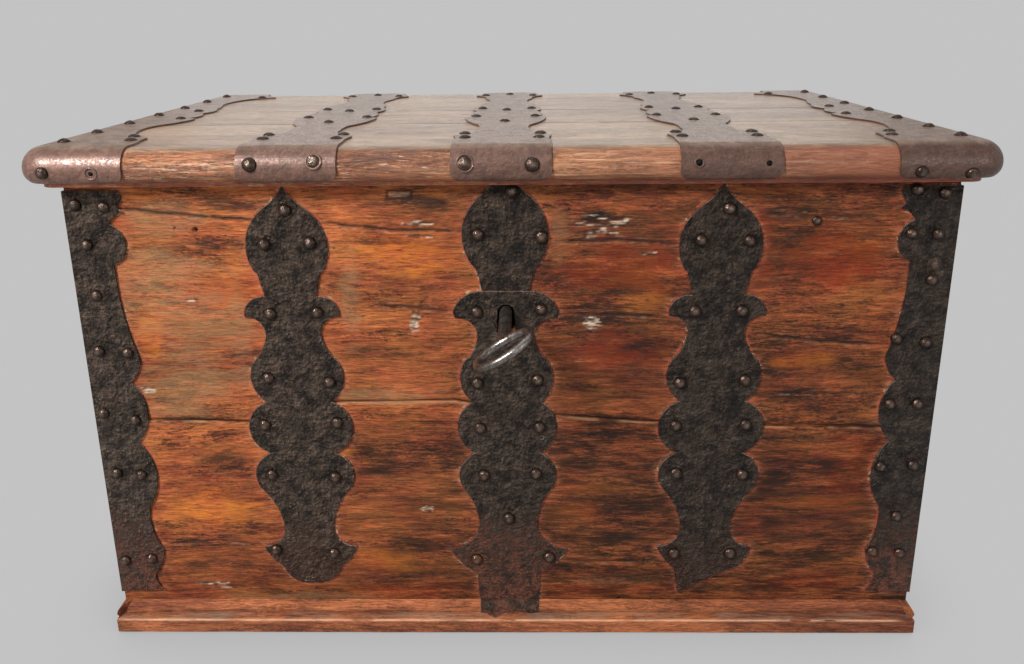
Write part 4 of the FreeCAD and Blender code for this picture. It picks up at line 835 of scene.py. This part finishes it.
# A board, its lower and upper line, whether the seam is the lower one, and the seed of its noise.
FRONT_BOARDS = (
    ("front_board_upper", SEAM, RIM_LINE, True, 3),
    ("front_board_lower", BASE_LINE, SEAM, False, 8),
)

for name, *place_and_seed in FRONT_BOARDS:
    points, masks = front_skin(*place_and_seed)
    across, up = points[..., 0], points[..., 2]
    keyhole = (np.abs(across - KEY_X) < KEYHOLE_HALF) & (up > KEYHOLE_LOW) & (up < KEYHOLE_HIGH)
    mesh = grid(name + "_face", points, masks, keyhole)
    place_piece(name + "_face", mesh, OAK_FRONT, "chest", [name])
    shape = merged(name)
    outer = [f for f in shape.faces if all(abs(v.co.y - FRONT_Y) < PLANE_TOLERANCE for v in f.verts)]
    bmesh.ops.delete(shape, geom=outer, context="FACES")
    worn_copy(name, 0.6, shape)
    print(name, len(mesh.polygons), "faces on the skin")

# %% [markdown]
# ## The base moulding in front
# A quarter round, a dusty ledge and an upright face, worked with a plane along one board and knocked about
# since. The skin carries that profile along the board, dents it with noise, and paints as masks the worn
# arris, made paler still by a painted highlight, and a darker band in the corner between the quarter round
# and the ledge. It lies a third of a millimetre outside the rail.

# %% Base moulding
RAIL_LOW, RAIL_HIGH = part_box("base_rail_front")
RAIL_OUT = (FRONT_Y - RAIL_LOW.y) / MM
# In millimetres: half the rail's length at its outer face and, between its mitres, at the wall; how high
# its ledge and the middle of its arris are; the middle of the cove, out and up; and how far the skin
# stands off.
RAIL_HALF, RAIL_WALL_HALF = RAIL_HIGH.x / MM, 509.9
LEDGE_UP, ARRIS_UP = 18.9, 19.0
COVE_OUT, COVE_UP = 9.5, 22
RAIL_STEP, SKIN_LIFT = 3, 0.35
# The profile from the wall down to the floor, in millimetres out from the wall and up.
PROFILE = np.array(
    [(0, 40), (0, 34.6), (0.3, 34), (2, 33.1), (3.8, 31.8), (5.3, 30.5), (6.4, 29.1), (7.4, 27.5),
     (8.1, 25.9), (8.7, 24.2), (9, 22.4), (9.4, 21.9), (13, 21.1), (17, 20.2), (20.5, 19.4), (21.7, 18.9),
     (RAIL_OUT, 18.2), (RAIL_OUT, 14), (RAIL_OUT, 8), (RAIL_OUT, 3), (RAIL_OUT, 0.6)]
)
# The base's masks, with the colour and the strength of each.
# The arris is paler from wear and from a painted highlight; the corner between quarter round and ledge is
# darker.
BASE_MASKS = (("darker_in_corner", "#3A2218", 0.8), ("dust", "#86705E", 0.55), ("arris", "#DCA884", 0.85))


def rail_place(share):
    """A place on the moulding's profile, out from the wall and up, by its share of the whole length."""
    runs = np.hypot(*np.diff(PROFILE, axis=0).T)
    along = np.concatenate([[0], np.cumsum(runs)]) / runs.sum()
    return np.interp(share, along, PROFILE[:, 0]), np.interp(share, along, PROFILE[:, 1])


def rail_surface(x, share, lift):
    """Points of the moulding at x along it: the profile's place pushed out along its normal by lift."""
    out, up = rail_place(share)
    ahead, behind = rail_place(np.clip(share + 0.01, 0, 1)), rail_place(np.clip(share - 0.01, 0, 1))
    run_out, run_up = ahead[0] - behind[0], ahead[1] - behind[1]
    size = np.hypot(run_out, run_up) + 1e-9
    out, up = out - run_up / size * lift, up + run_out / size * lift
    return np.stack([x, FRONT_Y / MM - out, np.clip(up, 0, None)], axis=-1) * MM


def base_details(add, field, colour):
    """Adds a darker band in the corner, dust on the ledge, and a pale arris, worn and with a painted
    highlight.
    """
    for name, tone, most in BASE_MASKS:
        colour = coat(add, colour, tone, add("Attribute", attribute_name=name, out="Fac"), most)
    return colour


OAK_MOULDING = oak("aged oak, base front", 0, BASE_TONES, streaks=0.7, scuffs=0.35, details=base_details)
columns = int((RAIL_HIGH.x - RAIL_LOW.x) / MM / RAIL_STEP)
share, along = np.meshgrid(np.linspace(0.1, 1, 48), np.linspace(-1, 1, columns), indexing="ij")
out, up = rail_place(share)
x = along * (RAIL_WALL_HALF + (RAIL_HALF - RAIL_WALL_HALF) * out / RAIL_OUT)
dents = value_noise(x / 22, share * 9, 31, 4) * 0.35 + value_noise(x / 160, share * 3, 33, 2) * 0.4
on_arris = np.exp(-((np.hypot(out - RAIL_OUT, up - ARRIS_UP) / 1.3) ** 2))
in_cove = np.exp(-((np.hypot(out - COVE_OUT, up - COVE_UP) / 2.6) ** 2))
on_ledge = smooth(out, 9, 12) * (up > LEDGE_UP)
masks = {
    # The arris line is paler from wear and from a painted highlight; the corner between quarter round and
    # ledge is darker.
    "arris": on_arris * smooth(value_noise(x / 40, share * 3, 35, 3), -0.6, 0.1),
    "darker_in_corner": in_cove * (0.6 + 0.5 * value_noise(x / 30, share * 9, 36, 3)),
    "dust": on_ledge * smooth(value_noise(x / 35, share * 20, 37, 3), -0.3, 0.4),
}
lift = (SKIN_LIFT + dents - on_arris * 0.4 * (1 + dents)) * smooth(-np.abs(along), -1, -0.985)
skin = grid("base_moulding", rail_surface(x, share, lift), masks)
place_piece("base_moulding", skin, OAK_MOULDING, "chest")
print("moulding:", len(skin.polygons), "faces")

# %% [markdown]
# The centre strap once ended on the ledge. Its foot has rusted to a ragged skin of iron that laps over the
# cove. The patch follows the moulding's profile, and its height over the wood falls to nothing at its torn
# edges.

# %% Ragged foot of the centre strap
TAIL_LEFT, TAIL_RIGHT = -43.0, 35.0
share, x = np.meshgrid(np.linspace(0, 1, 40), np.linspace(TAIL_LEFT, TAIL_RIGHT, 60), indexing="ij")
torn = 0.46 + 0.05 * value_noise(x / 6, x * 0, 41, 3) + 0.12 * np.exp(-(((x + 24) / 12) ** 2))
edge = np.minimum(np.minimum(x - TAIL_LEFT, TAIL_RIGHT - x), (1 - share) * torn * 55)
height = 2.6 * smooth(edge + value_noise(x / 5, share * 8, 43, 2) * 0.8, 0, 1.8) - 0.2
height += value_noise(x / 4, share * 12, 44, 3) * 0.5 * smooth(edge, 0, 3)
tail = grid("strap_foot", rail_surface(x, share * torn, height))
place_piece("front_strap_foot", tail, STRAP_IRON, "chest")
print("foot of the centre strap:", len(tail.polygons), "faces")

# %% [markdown]
# ## Rivets
# Wrought rivets, their heads hammered round over the iron. A head is a dome of revolution whose rim and
# height waver a little; its crown is rubbed bright. Each group is one mesh, with fewer than sixty faces to
# a head, because there are more than two hundred heads.


# %% Heads
def revolved(place, side, out, angle, reach, height):
    """Points at reach * (cos(angle) * side + sin(angle) * (out x side)) + height * out from a place."""
    axes = [np.array(axis) for axis in (side, out.cross(side), out)]
    turned = (reach * np.cos(angle))[..., None] * axes[0] + (reach * np.sin(angle))[..., None] * axes[1]
    return turned + height[..., None] * axes[2] + np.array(place)


def domes(heads, sides=14, rings=5):
    """Vertices and faces of many heads. A head is (place, outward, radius, rise, flatness): ring number r
    of R lies at radius*sin(a) and height rise*cos(a)^(1+2*flatness), with a from 0 to a quarter turn,
    times noise."""
    angle = np.linspace(0, 2 * np.pi, sides, endpoint=False)[None, :]
    lean = (np.linspace(0.06, 1, rings) * np.pi / 2)[:, None]
    index = np.arange(rings * sides).reshape(rings, sides)
    index = np.concatenate([index, index[:, :1]], axis=1)
    quads = np.stack([index[:-1, :-1], index[1:, :-1], index[1:, 1:], index[:-1, 1:]], axis=-1)
    quads = quads.reshape(-1, 4)
    east, north = np.cos(angle), np.sin(angle)
    points, faces, crowns = [], [], []
    for number, (place, outward, radius, rise, flatness) in enumerate(heads):
        wobble = 1 + 0.07 * value_noise(east * 1.5 + number * 3.1, north * 1.5 + 9, number, 2)
        beat = value_noise(east * np.sin(lean) * 2 + number, north * np.sin(lean) * 2, number + 5, 2)
        reach = radius * np.sin(lean) * wobble
        height = rise * np.cos(lean) ** (1 + 2 * flatness) * (1 + 0.14 * beat) - 0.2 * MM
        side = outward.orthogonal().normalized()
        points.append(revolved(place, side, outward, angle, reach, height).reshape(-1, 3))
        start = number * rings * sides
        rim = start + (rings - 1) * sides + np.arange(sides)[::-1]
        faces += (quads + start).tolist() + [(np.arange(sides) + start).tolist(), rim.tolist()]
        crowns.append(np.broadcast_to(np.cos(lean), reach.shape).ravel())
    return np.concatenate(points), faces, np.concatenate(crowns)


def rivets(name, heads, body):
    """One piece that holds a group of heads."""
    points, faces, crowns = domes(heads)
    place_piece(name, build(name, points, faces, {"crown": crowns}), RIVET_HEADS, body)
    print(name + ":", len(heads), "heads")


def rubbed_crown(add, field, colour):
    """Rubs the crown bright and leaves the scale at the rim."""
    crown = add("Attribute", attribute_name="crown", out="Fac")
    colour = coat(add, colour, "#A08E80", (crown, 0.85, 1.0, 0, 0.25))
    return coat(add, colour, "#1C1512", (crown, 0.35, 0.05, 0, 0.7))


RIVET_TONES = ("#221915", "#4E3C32", "#806A5A", "#744A36")
RIVET_HEADS = iron("wrought rivets, crowns rubbed bright", RIVET_TONES, 0.3, rust_below=0.1, rough=0.27,
                   metal=0.75, pits=0.16, mottled=0.5, details=rubbed_crown)

# %% [markdown]
# The places below are millimetres across and up the front. No two heads stand quite level, because the
# holes were punched by eye.

# %% Rivets on the front
FRONT_RIVETS = (
    (-262, 568), (-290, 527), (-236, 528), (-290, 440), (-233, 441), (-299, 356), (-224, 350), (-309, 292),
    (-218, 295), (-306, 222), (-225, 219), (-310, 112), (-234, 107),
    (256, 567), (225, 529), (282, 528), (222, 441), (278, 441), (208, 348), (287, 351), (205, 290),
    (292, 291), (208, 224), (292, 222), (210, 107), (283, 107),
    (3, 589), (-37, 537), (38, 534), (-40, 441), (37, 444), (-41, 348), (33, 352), (-39, 287), (35, 288),
    (-35, 221), (31, 223), (-4, 159), (-47, 98), (48, 101),
)
CORNER_RIVETS = (
    (-508, 576), (-475, 573), (-501, 527), (-498, 464), (-505, 392), (-470, 390), (-511, 309), (-472, 299),
    (-505, 225), (-474, 222), (-511, 96), (-476, 99),
    (470, 588), (502, 584), (469, 536), (500, 535), (499, 479), (466, 405), (501, 400), (467, 319),
    (501, 319), (465, 233), (505, 235), (492, 162), (467, 110), (502, 108),
)
FORWARD = Vector((0, -1, 0))


def front_head(x, z, radius=8.0, rise=6.3, flatness=0.0):
    """A head on the front ironwork."""
    return Vector((x * MM, FRONT_Y - IRON, z * MM)), FORWARD, radius * MM, rise * MM, flatness


heads = [front_head(x, z) for x, z in FRONT_RIVETS] + [front_head(x, z, 7.4, 6.0) for x, z in CORNER_RIVETS]
# One head on the right corner iron is hammered flat, and one nail stands in the bare board.
heads.append(front_head(500, 497, 9.5, 2.6, 0.5))
heads.append((Vector((359 * MM, FRONT_Y, 551 * MM)), FORWARD, 6 * MM, 3.4 * MM, 0.0))
rivets("front_rivets", heads, "chest")

# %% [markdown]
# On the lid the heads are lower. On each strap they sit at fixed places along it, mirrored about its axis.

# %% Rivets on the lid
UP = Vector((0, 0, 1))
STRAPS = ("left", "centre", "right")
STRAP_AXES = [middle_x("lid_strap_" + strap) / MM for strap in STRAPS]
# Millimetres off a strap's axis and back from the middle of the chest; on the axis, from the middle only.
# On the end straps, millimetres in from the lid's end and back; and a row close to the end.
ON_STRAP = ((44, -280), (46, -246), (42, -62), (38, 42), (42, 262))
ON_AXIS = (-120, 20, 285)
ON_END = ((108, -282), (98, -250), (82, -62), (72, 36), (104, 258))
OUTER_ROW, OUTER_ROW_IN = (-292, -210, -118, -20, 80, 180, 278), 33


def lid_head(x, y, radius=7.6, rise=3.6):
    """A head on the lid's ironwork."""
    return Vector((x * MM, y * MM, LID_TOP + IRON)), UP, radius * MM, rise * MM, 0.15


heads = [lid_head(axis + side * off, y) for axis in STRAP_AXES for off, y in ON_STRAP for side in (-1, 1)]
heads += [lid_head(axis, y) for axis in STRAP_AXES for y in ON_AXIS]
half = LID_RIGHT / MM
heads += [lid_head(side * (half - off), y) for side in (-1, 1) for off, y in ON_END]
heads += [lid_head(side * (half - OUTER_ROW_IN), y, 7.8, 4.6) for side in (-1, 1) for y in OUTER_ROW]
rivets("lid_rivets", heads, "lid")

# %% [markdown]
# Where the straps bend over the nose they are nailed again. A head there stands on the rounding: its
# direction comes from how high it sits between the middle of the nose and its top.

# %% Rivets on the nose
NOSE_TOP_RADIUS, NOSE_LOW_RADIUS, NOSE_FLAT = 23 * MM, 15 * MM, 1 * MM


def nose_point(x, z):
    """Place and outward direction on the iron that wraps the lid's nose, at a height z: above the flat the
    iron lies on a circle of the upper radius, below it on one of the lower radius."""
    flat_top = LID_TOP - NOSE_TOP_RADIUS
    flat_low = flat_top - NOSE_FLAT
    radius = NOSE_TOP_RADIUS if z > flat_low else NOSE_LOW_RADIUS
    level = flat_top if z > flat_top else flat_low if z < flat_low else z
    lean = math.asin(max(-1.0, min(1.0, (z - level) / (radius + IRON))))
    out = Vector((0, -math.cos(lean), math.sin(lean)))
    return Vector((x, NOSE_Y + radius, level)) + out * (radius + IRON), out


# A head's place across and up, its radius and rise in millimetres, and its flatness.
NOSE_RIVETS = (
    (-523, 619, 7.5, 5.0, 0.0),
    (-289, 627, 8.4, 5.0, 0.0),
    (-217, 630, 9.5, 2.0, 0.6),
    (-48, 627, 8.0, 1.6, 0.7),
    (27, 625, 8.6, 5.0, 0.05),
    (458, 614, 7.5, 5.0, 0.0),
    (514, 612, 7.5, 5.0, 0.0),
)
heads = []
for x, z, radius, rise, flatness in NOSE_RIVETS:
    place, out = nose_point(x * MM, z * MM)
    heads.append((place, out, radius * MM, rise * MM, flatness))
rivets("nose_rivets", heads, "lid")

# %% [markdown]
# Rings mark where a head was lost or where one is set in a collar, and dark dishes are nail holes, dark with
# rust and with the painted shade of a depth they lack. Both are surfaces of revolution: a ring's section is
# half a circle, a hole's is a shallow dish.

# %% Rings and holes on the nose
# Near black: rust, and the painted shade of a hole's depth.
HOLE_TONES = ("#0E0A08", "#1C1410", "#2A1E18", "#2E1C14")
HOLE_DARK = iron("nail hole, rust and painted shade", HOLE_TONES, 0.3, rough=0.8, metal=0.0)
# Place across and up, radius and thickness of the rings; place and radius of the holes.
NOSE_RINGS = {
    "nose_ring_left": (-217, 630, 8.5, 1.6),
    "nose_ring_centre": (-48, 627, 9.5, 1.0),
    "nose_ring_end": (-468, 618, 6.5, 1.2),
    "nose_ring_hole_left": (212, 626, 5.0, 1.0),
}
NOSE_HOLES = {
    "nose_hole_left": (212, 626, 3.6),
    "nose_hole_right": (289, 625, 3.2),
    "nose_hole_end": (-468, 618, 2.6),
}


def on_nose(name, x, z, reach, height, sides, material, capped=False):
    """A surface of revolution that stands on the nose. reach and height are a row of numbers in
    millimetres: how far each ring lies from the axis and how high."""
    place, out = nose_point(x * MM, z * MM)
    angle = np.linspace(0, 2 * np.pi, sides, endpoint=False)[None, :]
    points = revolved(place, Vector((1, 0, 0)), out, angle, reach[:, None] * MM, height[:, None] * MM)
    place_piece(name, grid(name, points, closed=True, capped=capped), material, "lid")


# A ring's section runs half way round a circle of its thickness, sunk a little.
section = np.linspace(0, np.pi, 9)
for name, (x, z, radius, thick) in NOSE_RINGS.items():
    on_nose(name, x, z, radius + thick * np.cos(section), thick * np.sin(section) - 0.15, 32, LID_IRON)
# A dish is 0.25 * (r^2 - 1) + 0.35 mm high, so it reads as a hole without cutting the iron.
dish = np.linspace(0.05, 1, 5)
for name, (x, z, radius) in NOSE_HOLES.items():
    on_nose(name, x, z, dish * radius, 0.25 * (dish**2 - 1) + 0.35, 20, HOLE_DARK, capped=True)
print(len(NOSE_RINGS), "rings and", len(NOSE_HOLES), "holes on the nose")

# %% [markdown]
# ## Rivets on the sides and back
# The corner irons and hinge straps are nailed on the sides and back too, in plain rows, and each handle
# plate has a small head above and below its eye.

# %% Rivets out of the front's sight
# Heights up the corner irons and how far their heads stand in from a corner; on a hinge strap, millimetres
# off its axis and up, and the height of the last head on the axis; each eye's place and its heads above
# and below.
SIDE_LEVELS, CORNER_IN = (575, 500, 430, 330, 250, 160, 70), 28 * MM
ON_HINGE_STRAP, HINGE_STRAP_FOOT = ((17, 556), (17, 486), (14, 414), (18, 352)), 322 * MM
HANDLE_EYES, HANDLE_LEVEL, PLATE_HEADS, PLATE_THICK = 66.5 * MM, 400 * MM, 34 * MM, 3 * MM
SIDE_X = -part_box("corner_iron_front_left")[0].x
BACK_IRON_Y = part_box("corner_iron_back_left")[1].y


def head_at(x, y, z, out, radius=7.4, rise=5.0):
    """A head at a place in metres, standing out along one axis."""
    return Vector((x, y, z)), Vector(out), radius * MM, rise * MM, 0.0


heads = []
for side in (-1, 1):
    for z in SIDE_LEVELS:
        heads.append(head_at(side * SIDE_X, FRONT_Y + CORNER_IN, z * MM, (side, 0, 0)))
        heads.append(head_at(side * SIDE_X, BACK_Y - CORNER_IN, z * MM, (side, 0, 0)))
        heads.append(head_at(side * (BOX_RIGHT - CORNER_IN), BACK_IRON_Y, z * MM, (0, 1, 0)))
    for y in (-HANDLE_EYES, HANDLE_EYES):
        for z in (HANDLE_LEVEL - PLATE_HEADS, HANDLE_LEVEL + PLATE_HEADS):
            heads.append(head_at(side * (BOX_RIGHT + PLATE_THICK), y, z, (side, 0, 0), 4.5, 2.6))
for strap in STRAPS:
    axis = middle_x("hinge_strap_" + strap)
    spots = [(axis + side * off * MM, z * MM) for off, z in ON_HINGE_STRAP for side in (-1, 1)]
    for x, z in [*spots, (axis, HINGE_STRAP_FOOT)]:
        heads.append(head_at(x, BACK_Y + IRON, z, (0, 1, 0), 7, 4.5))
rivets("side_and_back_rivets", heads, "chest")

# %% [markdown]
# ## Handles and key
# The frame draws the bail handles and the key's bow with flat sides, as a smith's blank would be. Filed
# and worn smooth they are round. A tube follows a line of places and is thicker where the hand holds it.


# %% Tubes
def tube(name, line, radii, flat, closed=False, sides=20):
    """A round bar along a line of places that lies in one plane, flat being the plane's normal: each ring
    is radius * (cos a * sideways + sin a * flat), sideways being square to the line within the plane."""
    line, flat = np.array(line, dtype=float), np.array(flat, dtype=float)
    ahead = np.roll(line, -1, axis=0) - np.roll(line, 1, axis=0) if closed else np.gradient(line, axis=0)
    sideways = np.cross(ahead, flat)
    sideways /= np.linalg.norm(sideways, axis=1, keepdims=True)
    angle = np.linspace(0, 2 * np.pi, sides, endpoint=False)[None, :, None]
    ring = sideways[:, None] * np.cos(angle) + flat[None, None] * np.sin(angle)
    points = line[:, None] + ring * np.asarray(radii)[:, None, None]
    if closed:
        points = np.concatenate([points, points[:1]])
    return grid(name, points, closed=True, capped=not closed)


def rounded_line(corners, radii, spacing):
    """Places along a broken line whose corners are replaced by curves: the curve through a corner blends
    (1-t)^2 of its start, 2t(1-t) of the corner and t^2 of its end."""
    corners = [np.array(c, dtype=float) for c in corners]
    line = [corners[0]]
    for before, corner, after, radius in zip(corners, corners[1:], corners[2:], radii):
        start = corner + (before - corner) / np.linalg.norm(before - corner) * radius
        end = corner + (after - corner) / np.linalg.norm(after - corner) * radius
        t = np.linspace(0, 1, 12)[:, None]
        line += list((1 - t) ** 2 * start + 2 * t * (1 - t) * corner + t**2 * end)
    line.append(corners[-1])
    places = [line[0]]
    for a, b in zip(line, line[1:]):
        count = max(1, int(np.linalg.norm(b - a) / spacing))
        places += [a + (b - a) * (i + 1) / count for i in range(count)]
    return np.array(places)


# %% Bail handles
# The bail's corners across and up and the size of each curve, in millimetres.
BAIL = ((-72, 400), (-47, 400), (-47, 328), (47, 328), (47, 400), (72, 400))
BAIL_CURVES, BAIL_SPACING = (6, 18, 18, 6), 3.0

for name in ("handle_left", "handle_right"):
    line = rounded_line([(middle_x(name) / MM, y, z) for y, z in BAIL], BAIL_CURVES, BAIL_SPACING)
    grip = np.exp(-((line[:, 1] / 26) ** 4)) * (line[:, 2] < 340)
    wear = 0.12 * value_noise(line[:, 1] / 8, line[:, 2] / 8, 51, 2) * (np.abs(line[:, 1]) < 55)
    bail = tube(name + "_round", line * MM, (4.85 + 1.2 * grip + wear) * MM, (1, 0, 0))
    place_piece(name + "_round", bail, HANDLE_IRON, name, [name])
print("a bail has", len(bail.polygons), "faces")

# %% [markdown]
# The key's bow is an oval ring that stands on the end of the shank and leans as the key is turned. Fingers
# have rubbed it bright. Its bar is stoutest at the two ends of the oval.

# %% Key
KEY_LEAN = math.radians(32)
BOW_WIDE = np.array([math.cos(KEY_LEAN), 0.0, math.sin(KEY_LEAN)])
BOW_LONG = np.array([0.0, -1.0, 0.0])
# In millimetres: the bow's middle, its half width and half length, and its bar's mean and greatest radius.
BOW_CENTRE = np.array([KEY_X / MM, -437.5, KEY_Z / MM])
BOW_HALF_WIDE, BOW_HALF_LONG, BOW_BAR, BOW_BAR_MOST = 33.4, 25.1, 4.55, 4.7
# Where the bow begins along Y, where it begins beside the shank, and how far off the axis that is.
BOW_START, BOW_SIDE_START, SHANK_REACH = -412.5 * MM, -404 * MM, 8 * MM


def on_bow(face):
    """Whether a face belongs to the bow: near its place, and off the shank's round side."""
    middle = face.calc_center_median()
    away = math.hypot(middle.x - KEY_X, middle.z - KEY_Z)
    return middle.y < BOW_START or (middle.y < BOW_SIDE_START and away > SHANK_REACH)


shape = merged("key")
bmesh.ops.delete(shape, geom=[face for face in shape.faces if on_bow(face)], context="FACES")
worn_copy("key", 0.5, shape)
turn = np.linspace(0, 2 * np.pi, 96, endpoint=False)
across, along = np.cos(turn), np.sin(turn)
stout = 1 + 0.04 * (np.abs(across) ** 0.8 * np.abs(along) ** 0.8)
line = BOW_CENTRE + BOW_HALF_WIDE * (across * stout)[:, None] * BOW_WIDE
line += BOW_HALF_LONG * (along * stout)[:, None] * BOW_LONG
thick = BOW_BAR + 0.25 * np.abs(across) + 0.12 * value_noise(across * 3, along * 3, 61, 2)
thick = np.minimum(thick, BOW_BAR_MOST)
bow = tube("key_bow_round", line * MM, thick * MM, np.cross(BOW_WIDE, BOW_LONG), closed=True)
place_piece("key_bow_round", bow, KEY_STEEL, "key", ["key"])
print("key bow:", len(bow.polygons), "faces")

# %% [markdown]
# ## Floor, light and camera
# A pale floor runs up into the background. The camera, mirrors and glass see both as one even grey, and the
# floor carries a painted contact shadow round the chest. The light is a big window up on the left, a weak
# fill on the right, a soft top, and a pale wall behind that the lid's top mirrors at a low angle.

# %% Stage
BACKDROP, SKY = "#C3C3C3", "#F0F0EE"
FLOOR_HALF, FLOOR_HEIGHT = 6.0, -0.5 * MM
# How far from the chest the painted contact shadow reaches, and how bright it is where it is deepest.
CONTACT_REACH, CONTACT_SHADE = 0.16, 0.62


def seen_directly(add):
    """1 for rays from the camera and for mirrored or refracted rays, else 0."""
    share = 0.0
    for ray in ("Camera", "Glossy", "Transmission"):
        share = add("Math", add("LightPath", out=f"Is {ray} Ray"), share, operation="MAXIMUM")
    return share


def stage():
    """The floor, and the sky that lights the scene."""
    material, add = emptied(bpy.data.materials.new("studio floor"))
    matt = add("BsdfDiffuse", Color=BACKDROP)
    # Painted contact shadow: the floor's even grey is darkened near the chest.
    contact = add("AmbientOcclusion", Distance=CONTACT_REACH, samples=16, out="AO")
    shade = add("MapRange", contact, 0, 1, CONTACT_SHADE, 1, **RAMP)
    flat = add("Emission", Color=BACKDROP, Strength=shade)
    add("OutputMaterial", Surface=add("MixShader", seen_directly(add), matt, flat))
    ends = (-FLOOR_HALF, FLOOR_HALF)
    points = np.array([[[x, y, FLOOR_HEIGHT] for x in ends] for y in ends])
    floor = bpy.data.objects.new("floor", grid("floor", points))
    bpy.context.scene.collection.objects.link(floor)
    clad(floor, material)

    world, add = emptied(bpy.data.worlds.new("studio"))
    bpy.context.scene.world = world
    sky = add("Background", Color=SKY, Strength=0.4)
    plain = add("Background", Color=BACKDROP, Strength=1)
    add("OutputWorld", Surface=add("MixShader", seen_directly(add), sky, plain))


def panel(name, place, target, width, height, power):
    """A soft rectangular light at a place, aimed at a target, that the camera doesn't see."""
    light = bpy.data.lights.new(name, "AREA")
    light.shape, light.size, light.size_y, light.energy = "RECTANGLE", width, height, power
    lamp = bpy.data.objects.new(name, light)
    lamp.location = place
    lamp.rotation_euler = (Vector(target) - Vector(place)).to_track_quat("-Z", "Y").to_euler()
    lamp.visible_camera = False
    bpy.context.scene.collection.objects.link(lamp)


stage()
panel("window left", (-1.8, -2.2, 2.3), (-0.1, -0.3, 0.4), 0.6, 0.6, 150)
panel("fill right", (2.0, -2.4, 1.2), (0, 0, 0.4), 1.4, 1.0, 16)
panel("top", (0, 0.2, 2.6), (0, 0, 0.6), 2.0, 1.4, 8)
panel("wall behind", (0, 2.4, 1.2), (0, 0, 0.6), 3.0, 1.4, 10)
print("stage and lights set")

# %% [markdown]
# The camera stands a metre in front of the chest, a little above the lid, and looks down. Its lens is
# given by its focal length in pixels, and its axis meets the picture above the middle.

# %% Camera
CAMERA_PLACE = (18.8 * MM, FRONT_Y - 968.6 * MM, RIM + 188.2 * MM)
# In radians: how far it looks down, how far to its left, and how far it is turned about its axis.
PITCH, YAW, ROLL = 0.2696, 0.0162, -0.0096
FOCAL_PIXELS, FRAME_WIDTH, FRAME_HEIGHT, AXIS_ROW = 850.0, 1024.0, 664.0, 250.0

camera = bpy.data.cameras.new("camera")
camera.sensor_width = 36
camera.lens = 36 * FOCAL_PIXELS / FRAME_WIDTH
camera.shift_y = (AXIS_ROW - FRAME_HEIGHT / 2) / FRAME_WIDTH
viewer = bpy.data.objects.new("camera", camera)
turn = (
    Matrix.Rotation(YAW, 3, "Z")
    @ Matrix.Rotation(math.pi / 2 - PITCH, 3, "X")
    @ Matrix.Rotation(ROLL, 3, "Z")
)
viewer.location = CAMERA_PLACE
viewer.rotation_euler = turn.to_euler()
bpy.context.scene.collection.objects.link(viewer)
bpy.context.scene.camera = viewer
bpy.context.scene.view_settings.view_transform = "Standard"
